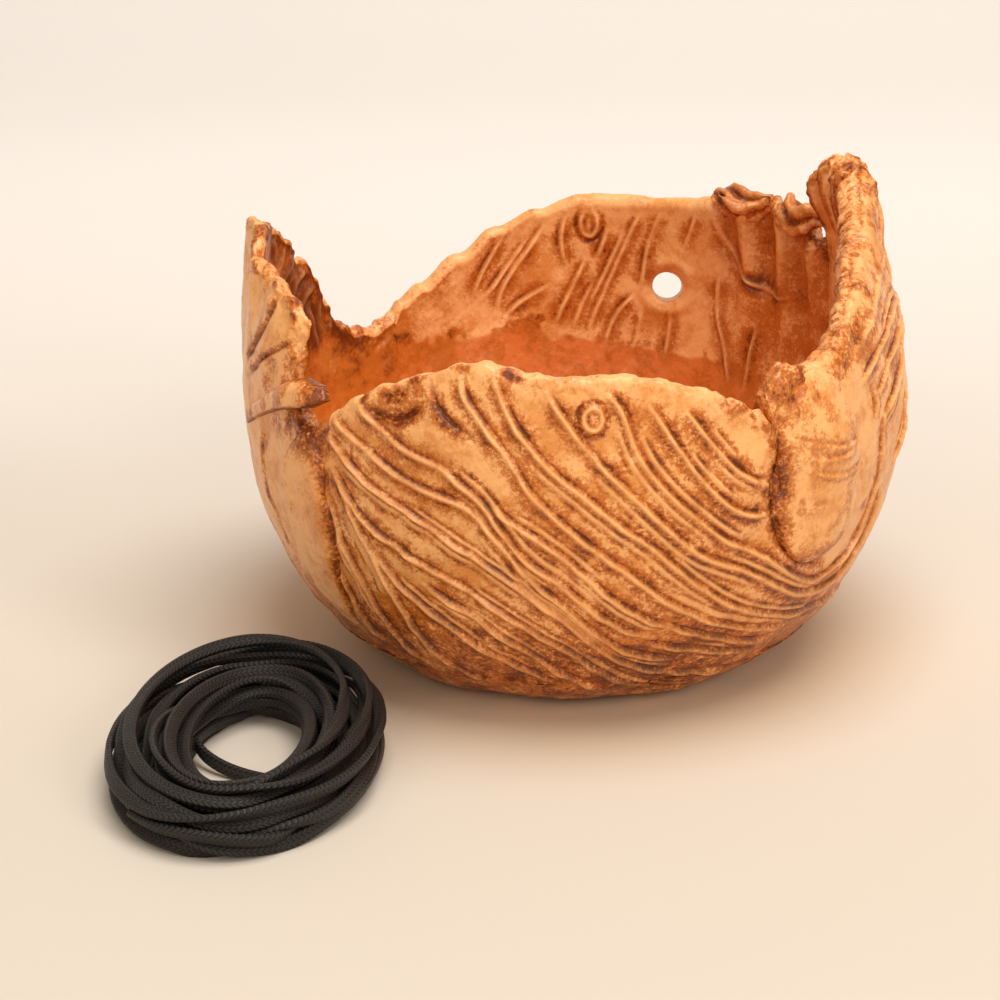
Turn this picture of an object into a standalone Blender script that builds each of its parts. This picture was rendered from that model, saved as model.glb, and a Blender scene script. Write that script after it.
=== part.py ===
"""Hand-built stoneware bowl of curved clay slabs on a round base, with its loose coil of braided cord.

Metres, +Z up. The origin is the centre of the foot, on the surface that the bowl stands on.
Sizes below are in millimetres and degrees. Angles run round the bowl from +X (right) through +Y (back).
"""

import math

import bmesh
import bpy
from mathutils import Matrix, Vector

MM = 0.001

# Body of the bowl
BODY_RADIUS = 74.0
WAIST_HEIGHT = 57.7
FOOT_RADIUS = 37.4
BELLY_POWER = 1.9
WALL = 5.0
FLOOR_THICKNESS = 6.0
FLOOR_CURVE = [(0.0, 0.0), (0.6, 0.0), (0.86, 1.5)]
BASE_TOP = 9.0
SEAM_GAP = 0.4
LAY_GAP = 0.35

# How far the wall leans in above the waist, as (angle, lean): 0 is upright, 1 follows a sphere
LEANS = [
    (226, 0.5), (302, 0.5), (312, 1.0), (330, 1.35), (350, 1.35), (362, 1.0), (372, 0.6), (388, 0.5),
    (487, 0.5), (506, 0.15), (538, 0.1), (556, 0.45), (575, 0.6), (586, 0.5),
]

# Seams between the slabs, as angles round the bowl
SEAM_FRONT_LEFT = 226
SEAM_FRONT_RIGHT = 302
SEAM_RIGHT_GATHER = 388
SEAM_GATHER_BACK = 418
SEAM_BACK_LEFT = 487
SEAM_LEFT_TUCK = 575
SEAM_TUCK_FRONT = SEAM_FRONT_LEFT + 360

# The torn upper edge of each slab: (angle, height as a share of the waist's height) where the edge turns
FRONT_RIM = [
    (226, 1.2), (237, 1.35), (250, 1.465), (258, 1.475), (268, 1.435), (282, 1.42), (296, 1.32), (302, 1.23),
]
RIGHT_RIM = [
    (302, 1.335), (307, 1.405), (314, 1.37), (325, 1.473), (340, 1.586), (356, 1.672), (369, 1.768),
    (375, 1.837), (381, 1.837), (385, 1.715), (388, 1.525),
]
GATHER_RIM = [(388, 1.42), (394, 1.44), (403, 1.41), (412, 1.44), (418, 1.42)]
BACK_RIM = [
    (418, 1.515), (434, 1.49), (447, 1.48), (456, 1.43), (464, 1.35), (472, 1.23), (480, 1.125),
    (485, 1.055), (487, 0.99),
]
LEFT_RIM = [
    (487, 0.99), (496, 0.97), (501, 1.02), (506, 1.215), (513, 1.385), (524, 1.56), (538, 1.68),
    (546, 1.69), (552, 1.6), (558, 1.57), (568, 1.55), (575, 1.49),
]
TUCK_RIM = [(575, 1.145), (580, 1.09), (586, 1.145)]

# The right slab's upper edge is rolled thicker, up from a share of its height, and less towards its tall tip
RIGHT_LIP = 2.2
LIP_START = 0.62
LIP_FADE = (0.35, 0.8)

# Ridges carved on the front slab: each leaves the rim, sweeps round the bowl and flattens as it runs down
RIDGE_COUNT = 16
RIDGE_HEIGHT = 0.8
RIDGE_SWEEP = 76.0
RIDGE_BEND = 1.45
RIDGE_FADE = 5.0
# A crest, its two feet and the hollow between them, as shares of the way from one crest to the next
RIDGE_PLACES = [0.0, 0.12, 0.5, 0.88]

# Hole for the cord through the back slab
HOLE_RADIUS = 3.6
HOLE_ANGLE = 69.5
HOLE_HEIGHT = 63.0
HOLE_TILT = 5.0
HOLE_SIDES = 24
HOLE_CUT = 30.0

# Pads of clay pressed over the joints, lying on the wall
RIGHT_PAD = {"angle": 313.5, "height": 57, "half_width": 13.0, "half_height": 21.0, "thick": 3.0, "tilt": 4}
LEFT_PAD = {"angle": 219, "height": 36, "half_width": 8.0, "half_height": 23.0, "thick": 2.0, "tilt": -4}
FOLD_STRAP = {"angle": 208, "height": 65.5, "half_width": 17.0, "half_height": 4.4, "thick": 3.0, "tilt": 17}
PAD_EDGE = 0.7
PAD_ROUNDING = 0.42
PAD_FLATNESS = 3

# Rolls of clay along the gathered slab's edge
ROLL_RADIUS = 4.0
ROLL_SWING = 2.0
NEAR_ROLL_SPAN = (389.5, 400.5)
FAR_ROLL_SPAN = (405.0, 416.5)
ROLL_POINTS = 8
ROLL_BEVEL = 3

# The cord, wound by hand into an oval coil that lies in front of the bowl, to the left
CORD_DIAMETER = 2.2
TURN_PITCH = 3.0
LAYER_PITCH = 3.6
COIL_LAYERS = 4
COIL_TURNS = 6
CLIMB_TURNS = 0.5
COIL_OUTER_RADIUS = 27.6
COIL_LENGTHENING = 12.5
COIL_BEARING = 229.6
COIL_STANDOFF = 3.5
COIL_YAW = -5
POINTS_PER_TURN = 24
CORD_BEVEL = 1

# Fineness of the solids
ANGLE_STEP = 4.0
HEIGHT_ROWS = 9
PAD_ROWS = 8
BASE_STEPS = 72
BASE_POINTS = 6
TRIM_SNAP = 0.02
AXIS_MERGE = 0.01

MATERIALS = {
    "stoneware": ((0.58, 0.27, 0.09), 0.5),
    "base_stoneware": ((0.50, 0.17, 0.04), 0.45),
    "waxed_cord": ((0.018, 0.016, 0.015), 0.6),
}


def clear_scene():
    for item in list(bpy.data.objects):
        bpy.data.objects.remove(item)


def make_material(name):
    colour, roughness = MATERIALS[name]
    material = bpy.data.materials.new(name)
    material.use_nodes = True
    shader = material.node_tree.nodes["Principled BSDF"]
    shader.inputs["Base Color"].default_value = (*colour, 1.0)
    shader.inputs["Roughness"].default_value = roughness
    return material


def make_collection(name, hidden=False):
    collection = bpy.data.collections.new(name)
    bpy.context.scene.collection.children.link(collection)
    collection.hide_render = hidden
    return collection


def add_object(name, data, collection, material=None):
    item = bpy.data.objects.new(name, data)
    collection.objects.link(item)
    if material:
        item.data.materials.append(material)
    return item


def add_mesh(name, bm, collection, material=None):
    """A named object from a closed bmesh that was modelled in millimetres."""
    bmesh.ops.recalc_face_normals(bm, faces=bm.faces[:])
    if bm.calc_volume(signed=True) < 0:
        bmesh.ops.reverse_faces(bm, faces=bm.faces[:])
    bmesh.ops.scale(bm, vec=(MM, MM, MM), verts=bm.verts[:])
    mesh = bpy.data.meshes.new(name)
    bm.to_mesh(mesh)
    bm.free()
    return add_object(name, mesh, collection, material)


# The wall's surface

def profile(height, lean):
    """Outer radius of the wall at a height, and how fast it grows with the height."""
    if height < WAIST_HEIGHT:
        drop = (WAIST_HEIGHT - height) / WAIST_HEIGHT
        reach = max(1.0 - drop ** BELLY_POWER, 1e-9)
        swell = BODY_RADIUS - FOOT_RADIUS
        slope = swell / WAIST_HEIGHT * drop ** (BELLY_POWER - 1) * reach ** (1 / BELLY_POWER - 1)
        return FOOT_RADIUS + swell * reach ** (1 / BELLY_POWER), slope
    rise = height - WAIST_HEIGHT
    return BODY_RADIUS - lean * rise * rise / (2 * BODY_RADIUS), -lean * rise / BODY_RADIUS


def section_point(height, depth, lean):
    """(radius, height) of a point that lies depth under the outer surface."""
    radius, slope = profile(height, lean)
    size = math.hypot(1.0, slope)
    return radius - depth / size, height + depth * slope / size


def lean_at(angle):
    """How far the wall leans in at an angle round the bowl."""
    around = (angle - SEAM_FRONT_LEFT) % 360 + SEAM_FRONT_LEFT
    for (start, low), (end, high) in zip(LEANS, LEANS[1:]):
        if around <= end:
            return low + (high - low) * (around - start) / (end - start)
    return LEANS[-1][1]


def wall_point(angle, height, depth):
    radius, level = section_point(height, depth, lean_at(angle))
    turn = math.radians(angle)
    return Vector((radius * math.cos(turn), radius * math.sin(turn), level))


def smooth(share):
    share = min(max(share, 0.0), 1.0)
    return share * share * (3 - 2 * share)


def edge_height(rim, angle):
    """Height of a slab's upper edge at an angle, rounded between the points where it turns."""
    for (start, low), (end, high) in zip(rim, rim[1:]):
        if angle <= end:
            return WAIST_HEIGHT * (low + (high - low) * smooth((angle - start) / (end - start)))
    return WAIST_HEIGHT * rim[-1][1]


# Pieces of clay

def box_grid(columns, rows):
    """A grid drawn out into a slab: x and y run from 0 to 1, and z is 0 outside and 1 inside."""
    bm = bmesh.new()
    bmesh.ops.create_grid(bm, x_segments=columns, y_segments=rows, size=0.5)
    bmesh.ops.translate(bm, vec=(0.5, 0.5, 0.0), verts=bm.verts[:])
    drawn = bmesh.ops.extrude_face_region(bm, geom=bm.faces[:])
    inner = [part for part in drawn["geom"] if isinstance(part, bmesh.types.BMVert)]
    bmesh.ops.translate(bm, vec=(0.0, 0.0, 1.0), verts=inner)
    return bm


def make_slab(name, start, end, rim, collection, material, lip=0.0):
    """One slab of the wall, from the base's edge up to its own torn rim, clear of its neighbours."""
    columns = round((end - start) / ANGLE_STEP)
    bm = box_grid(columns, HEIGHT_ROWS)
    foot_line = BASE_TOP + SEAM_GAP
    for vertex in bm.verts:
        across, up, inside = vertex.co
        angle = start + (end - start) * across
        height = foot_line + (edge_height(rim, angle) - foot_line) * up
        thicker = lip * smooth((up - LIP_START) / (1 - LIP_START))
        thicker *= 1 - smooth((across - LIP_FADE[0]) / (LIP_FADE[1] - LIP_FADE[0]))
        depth = inside * (WALL + thicker)
        half_gap = math.degrees(SEAM_GAP / 2 / section_point(height, depth, lean_at(angle))[0])
        vertex.co = wall_point(angle + half_gap * (1 - 2 * across), height, depth)
    return add_mesh(name, bm, collection, material)


def make_carved_slab(name, start, end, rim, collection, material):
    """A slab with ridges outside: a leaning grid that follows them, trimmed at the slab's two ends."""
    columns = RIDGE_COUNT * len(RIDGE_PLACES)
    bm = box_grid(columns, HEIGHT_ROWS)
    foot_line = BASE_TOP + SEAM_GAP
    first = start - RIDGE_SWEEP
    for vertex in bm.verts:
        across, up, inside = vertex.co
        ridge, place = divmod(round(across * columns), len(RIDGE_PLACES))
        share = (ridge + RIDGE_PLACES[place]) / RIDGE_COUNT
        angle = first + (end - first) * share + RIDGE_SWEEP * (1 - up) ** RIDGE_BEND
        height = foot_line + (edge_height(rim, angle) - foot_line) * up
        depth = inside * WALL
        if place == 0 and inside < 0.5:
            depth = -RIDGE_HEIGHT * smooth((angle - start) / RIDGE_FADE) * smooth((end - angle) / RIDGE_FADE)
        vertex.co = wall_point(angle, height, depth)
    trim_slab(bm, start, -1)
    trim_slab(bm, end, 1)
    return add_mesh(name, bm, collection, material)


def trim_slab(bm, angle, side):
    """Cuts a slab off square at an angle, half a seam short of it, and closes the cut."""
    turn = math.radians(angle)
    way = Vector((-math.sin(turn), math.cos(turn), 0.0)) * side
    everything = [*bm.verts, *bm.edges, *bm.faces]
    cut = bmesh.ops.bisect_plane(
        bm, geom=everything, dist=TRIM_SNAP, plane_co=way * (-SEAM_GAP / 2), plane_no=way, clear_outer=True
    )
    outline = [part for part in cut["geom_cut"] if isinstance(part, bmesh.types.BMEdge)]
    bmesh.ops.edgeloop_fill(bm, edges=outline)


def make_base(collection, material):
    """Round base: a flat foot that sweeps up to the edge that the slabs stand on."""
    levels = [BASE_TOP * (1 - step / BASE_POINTS) ** 2 for step in range(BASE_POINTS)]
    outside = [section_point(level, 0.0, 0.0) for level in levels]
    rim = section_point(BASE_TOP, WALL, 0.0)
    floor = [(rim[0] * reach, FLOOR_THICKNESS + rise) for reach, rise in FLOOR_CURVE]
    points = [*floor, rim, *outside, (FOOT_RADIUS, 0.0), (0.0, 0.0)]
    bm = bmesh.new()
    line = [bm.verts.new((radius * MM, 0.0, level * MM)) for radius, level in points]
    for first, second in zip(line, line[1:]):
        bm.edges.new((first, second))
    mesh = bpy.data.meshes.new("base_dish")
    bm.to_mesh(mesh)
    bm.free()
    base = add_object("base_dish", mesh, collection, material)
    turn = base.modifiers.new("turn", "SCREW")
    turn.steps = BASE_STEPS
    turn.render_steps = BASE_STEPS
    turn.use_merge_vertices = True
    turn.merge_threshold = AXIS_MERGE * MM
    turn.use_normal_calculate = True


def make_pad(name, size, collection, material):
    """A pad of clay on the outside of the wall, thick in the middle and thin at its rounded edge."""
    bm = box_grid(PAD_ROWS, PAD_ROWS)
    tilt = math.radians(size["tilt"])
    lean = lean_at(size["angle"])
    upright = 1 / math.hypot(1.0, profile(size["height"], lean)[1])
    for vertex in bm.verts:
        x = vertex.co.x * 2 - 1
        y = vertex.co.y * 2 - 1
        across = size["half_width"] * x * math.sqrt(1 - PAD_ROUNDING * y * y)
        along = size["half_height"] * y * math.sqrt(1 - PAD_ROUNDING * x * x)
        sideways = across * math.cos(tilt) - along * math.sin(tilt)
        upward = across * math.sin(tilt) + along * math.cos(tilt)
        height = size["height"] + upward * upright
        angle = size["angle"] + math.degrees(sideways / profile(height, lean)[0])
        middle = 1 - max(abs(x), abs(y)) ** PAD_FLATNESS
        thick = PAD_EDGE + (size["thick"] - PAD_EDGE) * middle
        vertex.co = wall_point(angle, height, -LAY_GAP - thick * (1 - vertex.co.z))
    add_mesh(name, bm, collection, material)


def make_tube(name, points, diameter, bevel_resolution, collection, material):
    """A round bar through points given in millimetres."""
    curve = bpy.data.curves.new(name, "CURVE")
    curve.dimensions = "3D"
    curve.bevel_depth = diameter / 2 * MM
    curve.bevel_resolution = bevel_resolution
    curve.use_fill_caps = True
    line = curve.splines.new("POLY")
    line.points.add(len(points) - 1)
    for place, point in zip(line.points, points):
        place.co = (*(point * MM), 1.0)
    add_object(name, curve, collection, material)


def make_roll(name, span, collection, material):
    """A roll of clay that rests along the gathered slab's edge and swings inwards in the middle."""
    points = []
    top = WAIST_HEIGHT * max(share for _, share in GATHER_RIM)
    for step in range(ROLL_POINTS + 1):
        share = step / ROLL_POINTS
        angle = span[0] + (span[1] - span[0]) * share
        inward = WALL / 2 + ROLL_SWING * math.sin(math.pi * share)
        points.append(wall_point(angle, top + ROLL_RADIUS + LAY_GAP, inward))
    make_tube(name, points, 2 * ROLL_RADIUS, ROLL_BEVEL, collection, material)


def cut_hole(slab, cutters):
    """A round hole through the slab, its axis along Y and dipping a little to the outside."""
    bm = bmesh.new()
    bmesh.ops.create_cone(
        bm, cap_ends=True, segments=HOLE_SIDES, radius1=HOLE_RADIUS, radius2=HOLE_RADIUS, depth=HOLE_CUT
    )
    cutter = add_mesh("hole_cutter", bm, cutters)
    cutter.location = wall_point(HOLE_ANGLE, HOLE_HEIGHT, WALL / 2) * MM
    cutter.rotation_euler = (math.radians(90 - HOLE_TILT), 0.0, 0.0)
    cutter.hide_render = True
    cutter.display_type = "WIRE"
    cut = slab.modifiers.new("cord hole", "BOOLEAN")
    cut.operation = "DIFFERENCE"
    cut.object = cutter


# The cord

def coil_point(turn, radius, level):
    """A point of the oval coil, which is longer front to back than it is wide."""
    away = BODY_RADIUS + COIL_OUTER_RADIUS + COIL_STANDOFF
    centre = Matrix.Rotation(math.radians(COIL_BEARING), 3, "Z") @ Vector((away, 0.0, level))
    around = 2 * math.pi * turn
    oval = Vector((radius * math.cos(around), (radius + COIL_LENGTHENING) * math.sin(around), 0.0))
    return centre + Matrix.Rotation(math.radians(COIL_YAW), 3, "Z") @ oval


def coil_points():
    """The cord's line: layers that spiral in and out by turns and climb where the spiral reverses."""
    flat_turns = COIL_TURNS - CLIMB_TURNS
    inner_radius = COIL_OUTER_RADIUS - TURN_PITCH * flat_turns
    points = []
    for layer in range(COIL_LAYERS):
        start, end = COIL_OUTER_RADIUS, inner_radius
        if layer % 2:
            start, end = end, start
        last = layer == COIL_LAYERS - 1
        turns = flat_turns if last else COIL_TURNS
        for step in range(round(turns * POINTS_PER_TURN)):
            done = step / POINTS_PER_TURN
            radius = start + (end - start) * min(done / flat_turns, 1.0)
            climb = smooth((done - flat_turns) / CLIMB_TURNS)
            level = CORD_DIAMETER / 2 + LAYER_PITCH * (layer + climb)
            points.append(coil_point(layer * COIL_TURNS + done, radius, level))
    first_way = (points[0] - points[1]).normalized()
    last_way = (points[-1] - points[-2]).normalized()
    return [points[0] + first_way * CORD_DIAMETER, *points, points[-1] + last_way * CORD_DIAMETER]


def least_gap(points):
    """The smallest clear distance between turns of the cord, measured on its points."""
    apart = POINTS_PER_TURN // 3
    nearest = min(
        (points[i] - points[j]).length
        for i in range(len(points))
        for j in range(i + apart, len(points))
    )
    return nearest - CORD_DIAMETER


def main():
    clear_scene()
    parts = make_collection("yarn_bowl")
    cutters = make_collection("cutters", hidden=True)
    clay = make_material("stoneware")

    make_base(parts, make_material("base_stoneware"))
    make_carved_slab("front_slab", SEAM_FRONT_LEFT, SEAM_FRONT_RIGHT, FRONT_RIM, parts, clay)
    make_slab("right_slab", SEAM_FRONT_RIGHT, SEAM_RIGHT_GATHER, RIGHT_RIM, parts, clay, RIGHT_LIP)
    make_slab("gathered_slab", SEAM_RIGHT_GATHER, SEAM_GATHER_BACK, GATHER_RIM, parts, clay)
    back = make_slab("back_slab", SEAM_GATHER_BACK, SEAM_BACK_LEFT, BACK_RIM, parts, clay)
    make_slab("left_slab", SEAM_BACK_LEFT, SEAM_LEFT_TUCK, LEFT_RIM, parts, clay)
    make_slab("tuck_slab", SEAM_LEFT_TUCK, SEAM_TUCK_FRONT, TUCK_RIM, parts, clay)
    cut_hole(back, cutters)

    make_pad("right_seam_pad", RIGHT_PAD, parts, clay)
    make_pad("left_seam_pad", LEFT_PAD, parts, clay)
    make_pad("left_fold_strap", FOLD_STRAP, parts, clay)
    make_roll("near_rim_roll", NEAR_ROLL_SPAN, parts, clay)
    make_roll("far_rim_roll", FAR_ROLL_SPAN, parts, clay)

    cord = coil_points()
    make_tube("cord_coil", cord, CORD_DIAMETER, CORD_BEVEL, parts, make_material("waxed_cord"))
    length = sum((after - before).length for before, after in zip(cord, cord[1:]))
    print(f"cord: {length:.0f} mm long, least gap between turns {least_gap(cord):.2f} mm")


main()
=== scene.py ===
"""Looks of the hand-built stoneware yarn bowl and its coil of cord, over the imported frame.

Lengths are in millimetres and angles in degrees until a mesh is made. Angles run round the bowl from
+X (right) through +Y (back), so the front is at 270. Places in the photograph are pixels of its
1000 by 1000 frame, and each is carried on to the bowl's wall along the camera's line of sight.
"""

import math
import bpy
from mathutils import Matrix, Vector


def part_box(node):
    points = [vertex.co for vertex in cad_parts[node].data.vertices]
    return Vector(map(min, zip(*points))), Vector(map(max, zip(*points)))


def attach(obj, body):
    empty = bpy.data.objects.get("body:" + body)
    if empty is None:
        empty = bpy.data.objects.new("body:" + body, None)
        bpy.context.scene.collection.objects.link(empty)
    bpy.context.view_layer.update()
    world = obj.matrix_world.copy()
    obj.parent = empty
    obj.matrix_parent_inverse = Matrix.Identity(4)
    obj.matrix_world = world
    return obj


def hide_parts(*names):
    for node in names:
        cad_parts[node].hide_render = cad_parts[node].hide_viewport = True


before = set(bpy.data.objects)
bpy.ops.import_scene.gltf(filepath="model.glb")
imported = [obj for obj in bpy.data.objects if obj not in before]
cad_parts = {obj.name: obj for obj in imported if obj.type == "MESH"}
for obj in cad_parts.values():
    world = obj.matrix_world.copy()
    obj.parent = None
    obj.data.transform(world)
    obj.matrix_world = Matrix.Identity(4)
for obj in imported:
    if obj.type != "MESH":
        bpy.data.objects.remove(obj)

from types import SimpleNamespace

import bpy
import numpy as np
from mathutils import Vector

MM = 0.001
TINY = 1e-9
SMALL = 1e-6
CHANCE = np.random.default_rng(11)
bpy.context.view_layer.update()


def box_mm(node):
    low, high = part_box(node)
    return np.array(low) / MM, np.array(high) / MM


# The bowl's body, as the solids have it
BODY_RADIUS = -box_mm("left_slab")[0][0]
WAIST_HEIGHT = 57.7
FOOT_RADIUS = 37.4
BELLY_POWER = 1.9
WALL = 5.0
BASE_TOP = 9.0
FLOOR_THICKNESS = 6.0
FIRST_SEAM = 226

# How far the wall leans in above its waist, by angle
LEANS = [
    (226, 0.5), (302, 0.5), (312, 1.0), (330, 1.35), (350, 1.35), (362, 1.0), (372, 0.6), (388, 0.5),
    (487, 0.5), (506, 0.15), (538, 0.1), (556, 0.45), (575, 0.6), (586, 0.5),
]

# The photograph's view
PHOTO_SIZE = 1000
VIEW_FOCAL = 2836.0
VIEW_PITCH = 20.0
VIEW_PLACE = np.array([-16.24, -609.63, 252.72])
SENSOR = 36.0
SIGHT_STEPS = np.arange(480.0, 780.0, 0.25)

# Each slab's torn edge as (angle, height) where it turns, its thickness along that edge, the steps of its
# grid outside and inside, how ragged and crumbled the edge is, how much painted shade darkens it, and how
# much of the lines runs on over the edge
SLABS = {
    "front_slab": {
        "rim": [
            (226, 69), (231, 74), (237, 78), (244, 82), (250, 84.3), (254, 84.7), (258, 84.2), (262, 83.2),
            (268, 82.6), (276, 83.2), (282, 82.2), (289, 79.6), (296, 76), (300, 73), (302, 70)],
        "edge": [(226, 4.2)], "steps": (0.36, 1.3), "rag": 0.3,
        "crumble": [(226, 0.1), (290, 0.1), (297, 0.6)], "over_rim": 0.8},
    "right_slab": {
        "rim": [
            (302, 76), (304, 80), (307, 81.5), (311, 80), (315, 79.3), (319, 81), (325, 85), (332, 88.5),
            (340, 91.5), (348, 94), (356, 96.5), (363, 99.3), (369, 103), (374, 106.2), (377.5, 107.3),
            (379.5, 105.6), (381.5, 106.6), (383.5, 103.6), (385, 103.2), (386.5, 98), (388, 90)],
        "edge": [(302, 6.4), (330, 7.0), (350, 7.8), (368, 8.0), (378, 7.2), (384, 4.6)],
        "steps": (0.5, 0.7), "rag": 0.3, "crumble": [(302, 0.6), (312, 0.12), (360, 0.15), (372, 0.4)]},
    "gathered_slab": {
        "rim": [
            (388, 84), (392, 83.5), (395, 84.5), (398, 89), (402, 90.5), (405, 89.5), (407.5, 87), (411, 88),
            (418, 87)],
        "edge": [(388, 4.6)], "steps": (0.6, 0.5), "rag": 0.5, "crumble": [(388, 0.3)], "dark": 0.4},
    "back_slab": {
        "rim": [
            (418, 87), (426, 86.6), (434, 85.7), (447, 85.5), (456, 82.4), (464, 78), (472, 71), (480, 65),
            (485, 61.5), (487, 58)],
        "edge": [(418, 4.4)], "steps": (0.8, 0.45), "rag": 0.25},
    "left_slab": {
        "rim": [
            (487, 58), (491, 56), (496, 57), (501, 60), (505, 67), (508, 73.5), (511, 79), (514, 79.5),
            (517, 85), (524, 90), (530, 93.5), (538, 97), (545, 98), (549, 96), (552, 92.5), (556, 91),
            (560, 90.5), (564, 91), (568, 89.5), (572, 88), (575, 86)],
        "edge": [(487, 4.2), (530, 3.2), (575, 2.7)], "steps": (0.5, 0.8), "rag": 0.9,
        "crumble": [(487, 0.3), (530, 0.42)]},
    "tuck_slab": {
        "rim": [(575, 68), (580, 64), (584, 66), (586, 68)],
        "edge": [(575, 4.2)], "steps": (0.5, 0.9), "rag": 0.4, "crumble": [(575, 0.3)], "dark": 0.35},
}

# Grain ridges on the front, traced from upper left to lower right in the photograph
FRONT_GRAIN = [
    [(333, 412), (340, 426), (352, 438), (368, 452), (382, 464), (396, 476), (412, 486), (432, 496),
     (448, 499), (460, 504), (472, 512), (486, 528), (500, 544), (512, 560), (524, 576), (545, 594),
     (570, 614), (590, 630), (610, 644), (630, 654), (650, 658), (676, 660)],
    [(356, 402), (372, 420), (386, 436), (406, 452), (418, 459), (432, 462), (444, 471), (460, 486),
     (478, 500), (486, 508), (494, 522), (504, 538), (516, 556), (532, 568), (550, 578), (570, 594),
     (590, 610), (610, 622), (630, 632), (658, 640)],
    [(329, 430), (340, 452), (354, 468), (362, 480), (380, 494), (400, 508), (420, 522), (440, 536),
     (460, 548), (480, 562), (500, 576), (520, 590), (540, 606), (570, 626), (590, 644), (610, 656),
     (630, 664), (650, 670), (680, 672), (710, 670), (740, 662)],
    [(332, 462), (350, 498), (364, 520), (380, 534), (400, 550), (420, 562), (440, 574), (460, 584),
     (480, 598), (500, 612), (520, 626), (540, 638), (570, 654), (590, 666), (610, 676), (640, 686),
     (670, 687), (700, 679)],
    [(418, 580), (440, 596), (460, 606), (480, 620), (500, 634), (520, 648), (540, 662), (570, 677),
     (600, 688)],
    [(366, 542), (380, 560), (392, 576), (402, 586), (420, 602), (440, 618), (460, 630), (480, 644),
     (500, 656), (520, 668), (540, 677), (560, 685)],
    [(346, 494), (360, 528), (378, 562), (390, 586), (404, 608), (416, 628), (432, 644), (450, 660),
     (470, 673), (494, 684)],
    [(328, 490), (340, 530), (350, 556), (360, 576), (372, 596), (384, 616), (396, 632), (410, 647),
     (430, 664)],
    [(338, 566), (348, 586), (358, 606), (370, 624), (384, 638), (400, 651)],
    [(458, 368), (460, 386), (466, 402), (480, 422), (494, 440), (508, 460), (520, 480), (532, 498),
     (546, 512), (570, 532), (590, 548), (610, 562), (630, 574), (650, 590), (670, 604), (690, 614),
     (710, 622), (730, 626), (750, 628), (780, 626)],
    [(490, 369), (498, 386), (500, 400), (508, 416), (520, 436), (532, 452), (550, 472), (570, 488),
     (590, 502), (610, 520), (630, 534), (650, 546), (666, 560), (680, 572), (700, 588), (720, 600),
     (740, 609), (760, 613), (780, 614), (800, 610), (822, 600), (842, 582)],
    [(546, 394), (562, 418), (576, 438), (590, 456), (606, 472), (624, 490), (640, 504), (660, 522),
     (674, 536), (690, 550), (710, 560), (730, 566), (750, 572), (770, 582), (790, 592), (806, 593),
     (822, 587), (840, 572), (858, 548), (872, 520), (882, 484)],
    [(604, 392), (618, 402), (624, 414), (628, 430), (634, 450), (646, 470), (662, 488), (678, 504),
     (694, 518), (710, 530), (730, 544), (750, 550), (770, 560), (790, 574), (804, 582), (822, 576),
     (840, 560), (855, 540), (868, 510), (877, 477), (882, 440), (884, 410)],
    [(644, 402), (656, 414), (666, 432), (680, 452), (690, 466), (704, 484), (720, 500), (736, 512),
     (754, 516), (772, 516)],
    [(682, 408), (694, 422), (706, 438), (720, 454), (736, 472), (750, 480), (769, 486)],
    [(488, 504), (504, 520), (520, 530), (532, 538), (546, 546), (570, 564), (590, 582), (610, 598),
     (630, 610), (650, 622), (670, 628), (690, 634), (710, 637), (740, 640), (766, 638)],
    [(640, 644), (670, 648), (710, 650), (748, 648)],
]

# Grain on the right wall, traced upwards, and creases and cracks that only sink
RIGHT_GRAIN = [
    [(844, 358), (856, 345), (865, 324), (871, 297), (874, 270), (874, 238), (871, 212)],
    [(860, 383), (867, 363), (880, 340), (885, 315), (888, 285), (886, 260), (882, 240)],
    [(876, 398), (885, 368), (891, 347), (893, 315), (891, 288)],
    [(883, 420), (893, 395), (897, 368), (896, 332), (893, 305)],
    [(890, 470), (897, 440), (900, 410), (901, 380)],
    [(874, 424), (876, 409), (874, 391), (866, 376)],
]
PAD_CREASES = [
    [(776, 436), (790, 441), (806, 443), (826, 446), (846, 442), (858, 432)],
    [(800, 468), (816, 473), (834, 473), (850, 466), (862, 456)],
    [(806, 456), (822, 458), (838, 452), (854, 442)],
    [(798, 448), (808, 458), (814, 466)],
    [(790, 398), (794, 412), (791, 430)],
    [(806, 378), (810, 394), (818, 408)],
]
FRONT_CREASES = [
    [(373, 391), (383, 396), (394, 397), (404, 394), (413, 384)],
    [(360, 400), (372, 411), (386, 420), (402, 421), (418, 412), (428, 394)],
    [(426, 374), (430, 392), (438, 408), (450, 424), (464, 430), (472, 440), (478, 448)],
    [(778, 432), (782, 454), (777, 474), (770, 486), (775, 500), (776, 520), (782, 545), (800, 562),
     (826, 560)],
]
LEFT_CREASES = [
    [(262, 422), (262, 450), (268, 487), (281, 525), (294, 556)],
    [(248, 430), (250, 470), (258, 510), (270, 545)],
]
LEFT_FLAPS = [
    [(279, 288), (276, 300), (270, 318), (262, 334), (254, 348), (247, 362)],
    [(292, 338), (280, 344), (268, 352), (257, 362), (248, 372)],
]
LEFT_PLEATS = [
    [(276, 224), (283, 238), (284, 256), (280, 276)], [(289, 236), (290, 252), (286, 270), (284, 284)],
    [(303, 254), (297, 266), (290, 278), (288, 292)], [(316, 266), (306, 278), (298, 290), (297, 304)],
    [(322, 284), (312, 292), (306, 304), (305, 322)], [(328, 294), (322, 306), (322, 324), (327, 342)],
    [(336, 312), (333, 326), (335, 342)], [(311, 300), (316, 330), (322, 356)], [(303, 330), (308, 360)],
]

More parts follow.
